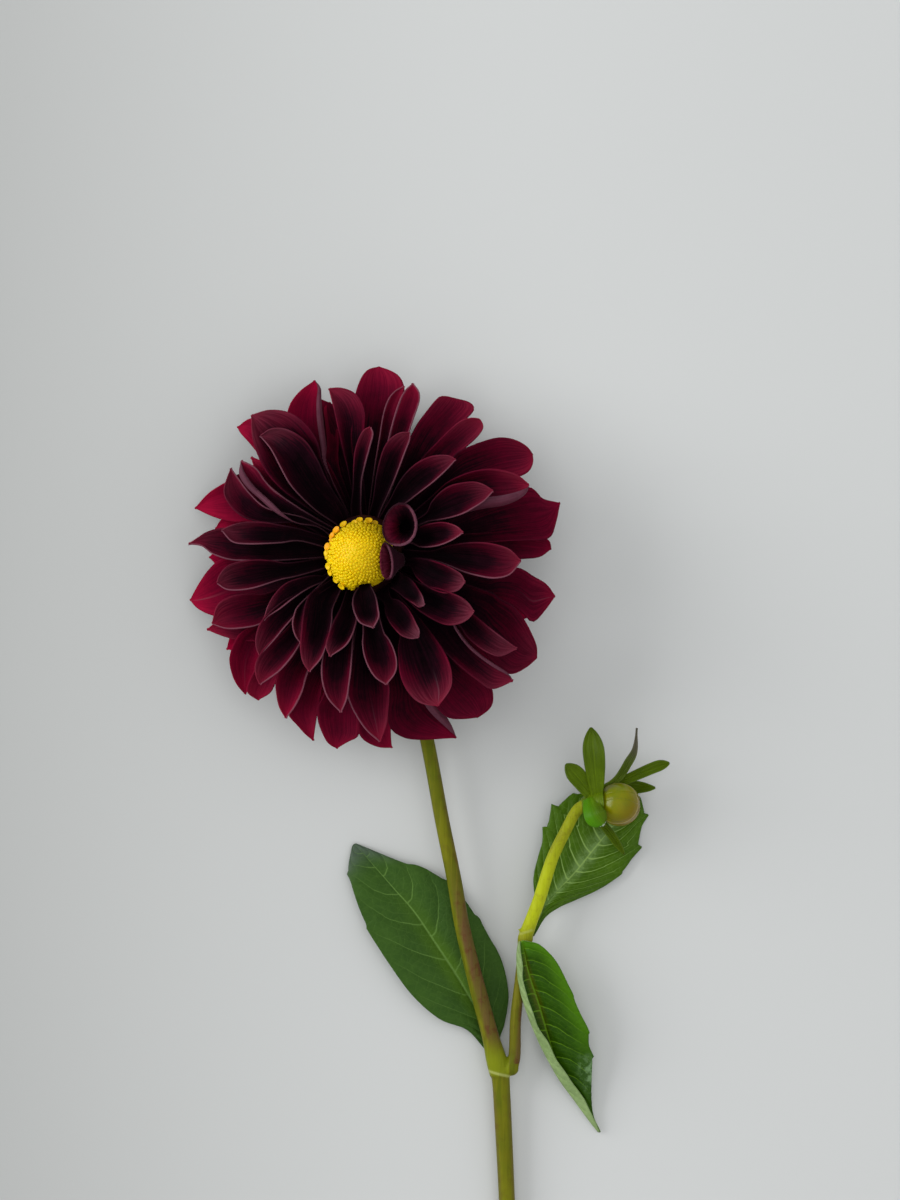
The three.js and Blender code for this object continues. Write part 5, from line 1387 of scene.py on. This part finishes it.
# Leaves: rows from base to tip with places on the left margin, the midrib and the right margin.
# The hanging leaf has its left margin rolled over, with the roll's fold as one more place. A tooth
# has its margin, 0 for the left one, its place counted in rows, and how far it stands out.
leafMake = {
    "left": {
        "rows": [
            [(37.3, -151.3, 1.7), (38.2, -151.2, 1.7), (39.2, -150.9, 1.7)],
            [(34.4, -147.4, 1.6), (36.9, -146.4, 1.2), (39.6, -145, 1.6)],
            [(29.5, -142.2, 2.6), (35.0, -141.3, 1.0), (41.1, -140.2, 1.8)],
            [(21.5, -139, 3.6), (31.5, -134.4, 1.0), (42.2, -131, 2.2)],
            [(13.6, -132.2, 4.2), (26.4, -125.7, 1.0), (39.8, -120.5, 2.6)],
            [(7, -123.4, 4.4), (20.1, -116.1, 1.0), (34.6, -111.8, 2.4)],
            [(1.8, -115.2, 4.0), (13.8, -106.8, 1.3), (27.4, -101.2, 2.2)],
            [(-2.6, -106, 3.2), (7.5, -99.6, 1.5), (18.6, -94.6, 2.2)],
            [(-5.2, -98, 2.2), (1.2, -92.4, 1.3), (10.6, -92, 2.4)],
            [(-6, -93.6, 1.2), (-2, -88.8, 0.8), (3.6, -89.3, 1.6)],
            [(-4.9, -87.2, 0.35), (-4.5, -86.6, 0.35), (-3.7, -86.3, 0.35)]],
        "teeth": [(0, 8.7, 0.7), (0, 6.4, 0.5), (1, 7.7, 1), (1, 5.3, 0.8), (1, 6.5, 0.5)],
        "arch": 0.6, "pairs": 9, "sweep": 0.2, "curve": 1.4, "veinWidth": 0.27, "length": 71,
        "quilt": 0.3, "flip": False,
    },
    "bud": {
        "rows": [
            [(48.5, -113.2, 6.6), (49.1, -113.6, 6.5), (49.8, -113.9, 6.4)],
            [(50.4, -107, 6.4), (51.8, -107.5, 5.8), (53.2, -108.2, 5.4)],
            [(49.9, -101.1, 6.2), (54.3, -103.2, 4.8), (57.6, -105.2, 4.0)],
            [(49.7, -96, 6.0), (57.3, -99.9, 4.0), (62.7, -103, 2.8)],
            [(50.9, -90.6, 5.6), (60.3, -96.9, 3.5), (68.4, -100.5, 2.0)],
            [(52.5, -85.3, 5.2), (63.6, -93.3, 3.1), (73.2, -97.6, 1.6)],
            [(54.3, -79.5, 4.8), (66.9, -89.1, 2.9), (77.7, -93.2, 1.4)],
            [(57.6, -74.5, 4.4), (69.9, -85.5, 2.7), (80.8, -87.6, 1.3)],
            [(61.3, -71.8, 3.8), (73.2, -81.6, 2.4), (82, -82.4, 1.3)],
            [(66.9, -70.8, 3.0), (76.5, -77.7, 2.0), (83, -77.6, 1.0)],
            [(74.6, -70.8, 2.0), (79.8, -73.8, 1.4), (82.4, -74, 0.9)],
            [(81, -72, 0.35), (81.4, -71.9, 0.35), (81.8, -72.3, 0.35)]],
        "teeth": [(0, 5.6, 1.4), (0, 6.75, 2.2), (1, 7.1, 1.6), (1, 9, 1.6), (1, 5.6, 0.5), (0, 8.2, 0.8)],
        "arch": 1.0, "pairs": 11, "sweep": 0.26, "curve": 1.65, "veinWidth": 0.4, "length": 53,
        "quilt": 0.34, "flip": False,
    },
    "hanging": {
        "rows": [
            [(45.4, -115, 12.2), (45.3, -115.2, 11.7), (46.4, -114.8, 12), (47.6, -114.9, 12.2)],
            [(45.7, -118.6, 13.2), (44.7, -118.6, 11.6), (47.1, -118.8, 11.3), (51.6, -116.1, 12.4)],
            [(46.4, -124, 13.2), (44.8, -123.4, 11.2), (48, -123.3, 10.6), (56.4, -121, 12)],
            [(47, -129.4, 12.6), (45.6, -128.7, 10.4), (49.5, -128.4, 9.6), (60.3, -128.7, 11.2)],
            [(48.6, -134.7, 11.8), (46.9, -133.8, 9.4), (51.3, -133.8, 8.4), (63, -135.3, 10)],
            [(50.6, -140.1, 10.6), (49, -139.8, 8.2), (53.1, -140.1, 7.2), (65.9, -141.6, 8.6)],
            [(54, -145.5, 9.2), (51.6, -146.1, 6.8), (54.9, -146.1, 5.8), (66.3, -146.2, 7.2)],
            [(56.9, -151.6, 7.6), (54.5, -151.8, 5.4), (56.6, -151.5, 4.4), (67.3, -150.6, 5.8)],
            [(60.6, -156.9, 6), (57.8, -157.4, 4), (59.3, -157.5, 3), (67.2, -156.3, 4.4)],
            [(64.8, -162.8, 4.2), (62.3, -163.6, 2.6), (63.4, -163.8, 1.8), (67.2, -162.9, 3)],
            [(67.6, -168.6, 2.4), (66.2, -169.1, 1.4), (66.9, -169.4, 0.8), (67.9, -168.4, 1.8)],
            [(69.6, -173.2, 0.9), (69.4, -173.3, 0.5), (69.6, -173.4, 0.4), (70, -173.2, 0.6)]],
        "teeth": [(1, 5.2, 0.4), (1, 6.9, 0.6), (1, 3.4, 0.3)],
        "arch": 0.6, "pairs": 12.5, "sweep": 0.13, "curve": 1.9, "veinWidth": 0.3, "length": 62,
        "quilt": 0.34, "flip": True,
    },
    "toothLength": 0.8, "toothDrop": 0.12, "thickness": 0.42, "across": 56, "along": 150, "roundness": 0.35,
    "ribDepth": 0.25, "waves": ((0.45, 21, 0), (0.3, 47, 1)),
}
# A patch has its colour, its strength, and its limits: what is measured, from where to where, and
# the share at either end.
leafLooks = {
    "underRougher": 0.2, "relief": 0.0003,
    "left": {
        "blade": (0.040, 0.095, 0.012), "deep": (0.020, 0.056, 0.008), "vein": (0.13, 0.24, 0.05),
        "under": (0.12, 0.2, 0.07), "roughness": 0.5, "specular": 0.12, "side": 0.6,
        "patches": [
            ((0.070, 0.150, 0.008), 0.75, [("side", 0.0, 0.35, 1, 0), ("v", 0.4, 0.75, 1, 0)]),
            ((0.070, 0.096, 0.074), 0.85, [("v", 0.76, 0.96, 0, 1)])],
    },
    "bud": {
        "blade": (0.062, 0.140, 0.003), "deep": (0.026, 0.072, 0.002), "vein": (0.30, 0.46, 0.12),
        "under": (0.16, 0.27, 0.09), "roughness": 0.34, "specular": 0.14, "side": 0.85,
        "patches": [
            ((0.20, 0.33, 0.10), 0.8,
             [("side", 0.0, 0.3, 1, 0), ("v", 0.7, 0.9, 1, 0), ("speckle", 0.2, 0.6, 0.45, 1)])],
    },
    "hanging": {
        "blade": (0.024, 0.076, 0.0004), "deep": (0.010, 0.040, 0.0003), "vein": (0.13, 0.28, 0.010),
        "under": (0.30, 0.42, 0.17), "roughness": 0.28, "specular": 0.22, "side": 0.8,
        "patches": [
            ((0.10, 0.105, 0.004), 0.7, [("side", 0.0, 0.2, 1, 0), ("v", 0.3, 0.6, 1, 0)]),
            # brighter green towards the right margin in the upper half: painted light on the turned-up half
            ((0.060, 0.175, 0.0005), 0.92, [("u", 0.74, 0.98, 0, 1), ("v", 0.4, 0.7, 1, 0)]),
            ((0.062, 0.20, 0.0005), 0.7, [("v", 0.02, 0.16, 1, 0)]),
            # a speckled painted highlight, gloss near the lower right margin
            ((0.20, 0.34, 0.15), 0.7,
             [("u", 0.72, 0.95, 0, 1), ("v", 0.58, 0.68, 0, 1), ("v", 0.72, 0.84, 1, 0),
              ("speckle", 0.2, 0.9, 0.1, 1)])],
    },
}


# Leaf veins on UV: the midrib, the side veins that sweep towards the tip, and a fine net
def makeLeafVeins():
    sizes = {"Pairs": 8.0, "Sweep": 0.2, "Curve": 1.4, "Length": 60.0, "Wide": 0.3}
    group, given, result = newGroup("leafVeins", sizes, ["Midrib", "Side", "Fine", "Net", "Panel"])
    u, v = readUv(group)
    side = fromMiddle(u)

    def veinLine(distance, wide):
        return minus(1, calculate("SMOOTH_MIN", calculate("DIVIDE", distance, wide), 1, 0.3))

    feed(result["Midrib"], veinLine(side, remap(v, 0, 1, 0.055, 0.012)))
    swept = times(given["Sweep"], calculate("POWER", side, given["Curve"]))
    waver = times(minus(noise(uvPlace(group), 5), 0.5), 0.032)
    level = plus(minus(v, swept), waver)
    opposite = times(calculate("GREATER_THAN", u, 0.5), 0.35)
    count = plus(times(level, given["Pairs"]), opposite)
    fade = remap(side, 0.7, 0.97, 1, 0)
    for outputName, often, narrow in (("Side", 1, 1), ("Fine", 3, 0.6)):
        fraction = minus(calculate("FRACT", times(count, often)), 0.5)
        near = minus(0.5, calculate("ABSOLUTE", fraction))
        if outputName == "Side":
            feed(result["Panel"], calculate("SINE", times(near, math.pi)))
        distance = times(calculate("DIVIDE", near, times(given["Pairs"], often)), given["Length"])
        wide = times(given["Wide"], remap(side, 0, 0.9, narrow, 0.4 * narrow))
        feed(result[outputName], times(larger(veinLine(distance, wide), 0), fade))
    cells = addNode(group, "ShaderNodeTexVoronoi", feature="DISTANCE_TO_EDGE")
    feed(cells.inputs["Scale"], 420)
    feed(cells.inputs["Vector"], objectPlace(group))
    feed(result["Net"], remap(cells.outputs["Distance"], 0, 0.12, 1, 0))
    return group


leafVeins = makeLeafVeins()


def leafSkin(key, under=False):
    look, make = leafLooks[key], leafMake[key]
    material, tree, shader = newMaterial(f"{key}Leaf{'Under' if under else 'Face'}")
    veins = useGroup(tree, leafVeins, Pairs=make["pairs"], Sweep=make["sweep"], Curve=make["curve"],
                     Length=make["length"], Wide=make["veinWidth"])
    spots, grain = blotches(tree, 110), blotches(tree, 900)
    u, v = readUv(tree)
    if under:
        colour = paint(look["under"], (times(spots, 0.3), look["blade"]))
    else:
        colour = paint(look["blade"], (times(spots, 0.6), look["deep"]))
        on = {"u": u, "v": v, "side": fromMiddle(u), "speckle": blotches(tree, 420)}
        for patch, strength, limits in look["patches"]:
            masks = [remap(on[measure], *limit) for measure, *limit in limits]
            colour = paint(colour, (times(masks[0], strength, *masks[1:]), patch))
    lines = [times(veins["Net"], 0.05), times(veins["Fine"], 0.16), times(veins["Side"], look["side"]),
             larger(veins["Midrib"], 0)]
    colour = paint(colour, (times(grain, 0.15), look["deep"]), *((line, look["vein"]) for line in lines))
    height = minus(times(veins["Panel"], 0.6), times(veins["Net"], 0.12))
    finish = {"Roughness": look["roughness"] + (leafLooks["underRougher"] if under else 0),
              "Specular IOR Level": look["specular"], "relief": leafLooks["relief"]}
    finishSkin(shader, colour, plus(height, times(grain, 0.15)), finish)
    return material


def toothAt(teeth, side, at):
    reach = 0
    for margin, place, depth in teeth:
        x = (at - place) / leafMake["toothLength"]
        if margin == side and -1 <= x <= leafMake["toothDrop"]:
            reach += depth * ((1 + x) ** 1.5 if x < 0 else 1 - x / leafMake["toothDrop"])
    return reach


def makeLeaf(key, node, slotName):
    make = leafMake[key]
    rows = [[Vector(place) for place in row] for row in make["rows"]]
    last = len(rows) - 1
    columns = [[row[j] for row in rows] for j in range(len(rows[0]))]
    rolled = len(columns) == 4
    spots = {}

    def rowAt(v):
        # the row's places, with teeth on the margins and waves in a rolled one
        if v not in spots:
            at = v * last
            places = [along(column, at) for column in columns]
            first, end = places[0], places[-1]
            first += (first - places[1]).normalized() * toothAt(make["teeth"], 0, at)
            end += (end - places[-2]).normalized() * toothAt(make["teeth"], 1, at)
            if rolled:
                wave = sum(size * math.sin(often * v + phase) for size, often, phase in leafMake["waves"])
                first += (first - places[1]).normalized() * wave * smooth(0.05, 0.2, v) * (1 - v)
            spots[v] = places
        return spots[v]

    def placeAt(u, v):
        places = rowAt(v)
        onRoll = rolled and u < 0.5
        if rolled:
            # the left half of the grid runs from the rolled margin over the fold to the midrib
            spot = along(places, u * 4 if onRoll else 2 + (u - 0.5) * 2)
        else:
            flat = places[0].lerp(places[1], u * 2) if u < 0.5 else places[1].lerp(places[2], u * 2 - 1)
            spot = flat.lerp(along(places, u * 2), leafMake["roundness"])
        half = (u * 2) % 1 if u < 1 else 1
        if not onRoll:
            spot.z += make["arch"] * math.sin(math.pi * v) * 4 * half * (1 - half)
        side = abs(2 * u - 1)
        phase = (v - make["sweep"] * side ** make["curve"]) * make["pairs"] + (0.35 if u > 0.5 else 0)
        panel = abs(math.sin(math.pi * phase)) ** 0.6
        quilt = make["quilt"] * panel * math.sin(math.pi * min(1, side * 1.05))
        quilt *= smooth(0, 0.15, v) * (1 - smooth(0.85, 1, v)) * (0.4 if onRoll else 1)
        spot.z += quilt - leafMake["ribDepth"] * max(0, 1 - side / 0.05) * (1 - v)
        return spot

    leaf = shapeGrid(f"{key}Leaf", leafMake["across"], leafMake["along"], placeAt)
    if make["flip"]:
        editAll(leaf, bpy.ops.mesh.flip_normals)
    dress(leaf, leafSkin(key), leafSkin(key, under=True))
    applyModifier(leaf, "SOLIDIFY", thickness=leafMake["thickness"], offset=0, material_offset=1,
                  material_offset_rim=1)
    settle(leaf, slotName, node)
    print("leaf", key, len(leaf.data.polygons))


makeLeaf("left", "leaf_left", "leaf_dark")
makeLeaf("bud", "leaf_bud", "leaf_mid")
makeLeaf("hanging", "leaf_hanging", "leaf_bright")

# Bud: a ball closed by overlapping scales, with a raised rim where one of them ends, in a cup with
# bracts that stand out round it
budMake = {
    "centre": (75.2, -74.1, 12.6), "radius": 6.3, "scales": 8, "scaleSpan": 0.62, "scaleThickness": 0.22,
    "rimFacing": (-0.22, 0.2, 0.95), "rimAngle": 72, "rimWidth": 2.0, "rimHeight": 0.16,
    "warmSide": (0.75, -0.6, 0),
    "cup": [(63.9, -74.5, 13.1, 2.2), (65.4, -74.4, 13, 3.4), (67.4, -74.3, 12.9, 4.6),
            (70, -74.2, 12.7, 5.4)],
    "bracts": [
        {"places": [(68.6, -72.4, 15), (67.6, -60.4, 18.4), (66.6, -50.9, 17.5)], "width": 6.3, "cup": 0.25,
         "widest": 0.6, "rootWidth": 0.42, "blunt": 0.85},
        {"places": [(67.2, -71.6, 14.6), (63, -66.0, 16), (59.2, -61.9, 15.5)], "width": 5.2, "cup": 0.3},
        {"places": [(66.3, -71.9, 16.4), (67.7, -76.6, 20.3), (70.3, -79.9, 20)], "width": 6.6, "cup": -0.35,
         "blunt": 0.55, "vivid": 1},
        {"places": [(67.4, -70.8, 11), (74.1, -67.1, 11.6), (78.0, -61.4, 12.2), (79.9, -57.5, 12.4),
                    (80.5, -51.2, 12)], "width": 2.2, "widest": 0.5, "blunt": 1.7, "tinge": 1},
        {"places": [(67.4, -71.2, 9), (78.7, -66.1, 10.2), (86, -62.9, 10.8), (90.3, -61.7, 11)],
         "width": 3.1, "widest": 0.68},
        {"places": [(67.2, -72.6, 8.4), (77, -69.4, 5.2), (86.2, -69.3, 7)], "width": 3.8},
        {"places": [(67.4, -77, 9.6), (72.4, -82.6, 8.6), (77, -89.3, 6.6)], "width": 2.2}],
}
budLook = {
    "olive": (0.215, 0.205, 0.0003), "green": (0.14, 0.18, 0.0005), "amber": (0.185, 0.125, 0.0002),
    "rim": (0.42, 0.33, 0.15),
    "finish": {"Roughness": 0.28, "Specular IOR Level": 0.36, "Subsurface Weight": 0.05,
               "Subsurface Radius": (1, 0.8, 0.2), "Subsurface Scale": 0.001, "relief": 0.000008},
}


def budSkin():
    material, tree, shader = newMaterial("budSkin")
    lines = lengthStreaks(tree, 8, 0.4)
    colour = paint(budLook["olive"], (blotches(tree, 260), budLook["green"]),
                   (readAttribute(tree, "warm"), budLook["amber"]), (times(lines, 0.15), budLook["green"]),
                   (times(readAttribute(tree, "edge"), 0.7), budLook["rim"]))
    finishSkin(shader, colour, lines, budLook["finish"])
    return material


def budScale(number):
    # a blade bent over the ball from the cup to its tip, every second one lies lower
    centre, radius = Vector(budMake["centre"]), budMake["radius"]
    turn = 2 * math.pi * (number + 0.35) / budMake["scales"]
    inner = number % 2

    def placeAt(u, v):
        wide = math.sin(math.pi * min(1, 0.18 + 0.82 * v) * 0.98) ** 0.6 if v < 0.95 else 0.32
        polar = math.pi * (0.86 - 0.78 * v)
        s = 1 - 2 * u
        around = turn + s * budMake["scaleSpan"] * wide
        reach = radius + (0.14 - 0.08 * inner - 0.02 * s * s)
        return centre + Vector((reach * math.cos(polar), reach * math.sin(polar) * math.cos(around),
                                reach * math.sin(polar) * math.sin(around)))

    scale = shapeGrid("budScale", 24, 60, placeAt)
    editAll(scale, lambda: bpy.ops.mesh.normals_make_consistent(inside=False))
    applyModifier(scale, "SOLIDIFY", thickness=budMake["scaleThickness"], offset=-1)
    return scale


def makeBud():
    centre = Vector(budMake["centre"])
    facing = Vector(budMake["rimFacing"]).normalized()
    warmSide = Vector(budMake["warmSide"])

    def rimAt(co):
        off = math.degrees(facing.angle(co - centre)) - budMake["rimAngle"]
        return math.exp(-(off / budMake["rimWidth"]) ** 2)

    bpy.ops.mesh.primitive_uv_sphere_add(segments=72, ring_count=40, radius=budMake["radius"] - 0.1,
                                         location=centre)
    ball = bpy.context.object
    bpy.ops.object.transform_apply(location=True)
    bud = joinPieces([ball, *(budScale(number) for number in range(budMake["scales"]))], "budPiece")
    dress(bud, budSkin())
    setAttributes(bud, edge=rimAt)
    for vertex in bud.data.vertices:
        vertex.co += (vertex.co - centre).normalized() * budMake["rimHeight"] * rimAt(vertex.co)
    setAttributes(bud, warm=lambda co: smooth(-2, 5.5, (co - centre).dot(warmSide)))
    settle(bud, "bud", "bud")
    print("bud", len(bud.data.polygons))


def makeBudBracts():
    cup = makeTube("budCup", [Vector(stop) for stop in budMake["cup"]], 14)
    blades = [makeBract(f"budBract{number}", **{"cup": 0.4, **bract})
              for number, bract in enumerate(budMake["bracts"])]
    whole = joinPieces([cup, *blades], "budBracts")
    dress(whole, bractGreen)
    settle(whole, "bract", "bud_bracts")
    print("bud bracts", len(whole.data.polygons))


makeBud()
makeBudBracts()

# Floor, light and camera: soft light comes from low on the left, with weaker fills round the rest
stageLook = {
    "floor": (0.60, 0.612, 0.605), "lens": 150,
    "room": (0.93, 0.96, 1.0), "roomStrength": 0.2,
    "lights": [("leftWindow", (-1.5, 0.5, 0.75), 1.3, 25), ("topFill", (-0.2, 1.6, 1.1), 2.4, 10),
               ("rightFill", (1.5, 0.1, 1.1), 2.4, 12), ("lowFill", (0.1, -1.4, 1.1), 2.4, 9),
               ("overhead", (0.1, 0.1, 2), 1.6, 11)],
    "lightsAimAt": (0, 0.03, 0),
    # the floor's painted shade: its colour, and where along x it fades in
    "floorPaintedShade": (0.28, 0.285, 0.275), "paintedShadeFrom": 0.05, "paintedShadeTo": -0.32,
}


def makeFloor():
    bpy.ops.mesh.primitive_plane_add(size=6, location=(0, 0, -0.0005))
    floor = bpy.context.object
    floor.name = "floor"
    material, tree, shader = newMaterial("paleFloor")
    place = addNode(tree, "ShaderNodeSeparateXYZ")
    feed(place.inputs[0], objectPlace(tree))
    # painted shade: the floor darker towards the left
    paintedShadeShare = remap(place.outputs[0], stageLook["paintedShadeTo"], stageLook["paintedShadeFrom"], 1, 0)
    feed(shader.inputs["Base Color"], paint(stageLook["floor"], (paintedShadeShare, stageLook["floorPaintedShade"])))
    shader.inputs["Roughness"].default_value = 0.9
    shader.inputs["Specular IOR Level"].default_value = 0.1
    dress(floor, material)


def makeLights():
    world = bpy.data.worlds.new("softRoom")
    bpy.context.scene.world = world
    world.use_nodes = True
    room = world.node_tree.nodes["Background"]
    feed(room.inputs["Color"], stageLook["room"])
    feed(room.inputs["Strength"], stageLook["roomStrength"])
    for name, place, size, power in stageLook["lights"]:
        bpy.ops.object.light_add(type="AREA", location=place)
        light = bpy.context.object
        light.name = name
        light.data.size = size
        light.data.energy = power
        # only the window shows in glossy faces
        light.visible_glossy = name == "leftWindow"
        toPart = Vector(stageLook["lightsAimAt"]) - Vector(place)
        light.rotation_euler = toPart.to_track_quat("-Z", "Y").to_euler()


def makeCamera():
    bpy.ops.object.camera_add(location=toFrame @ eye, rotation=(0, 0, 0))
    camera = bpy.context.object
    camera.data.lens = stageLook["lens"]
    camera.data.sensor_width = 36
    camera.data.clip_end = 20
    bpy.context.scene.camera = camera
    bpy.context.scene.view_settings.view_transform = "Standard"


makeFloor()
makeLights()
makeCamera()
print("stage ready")
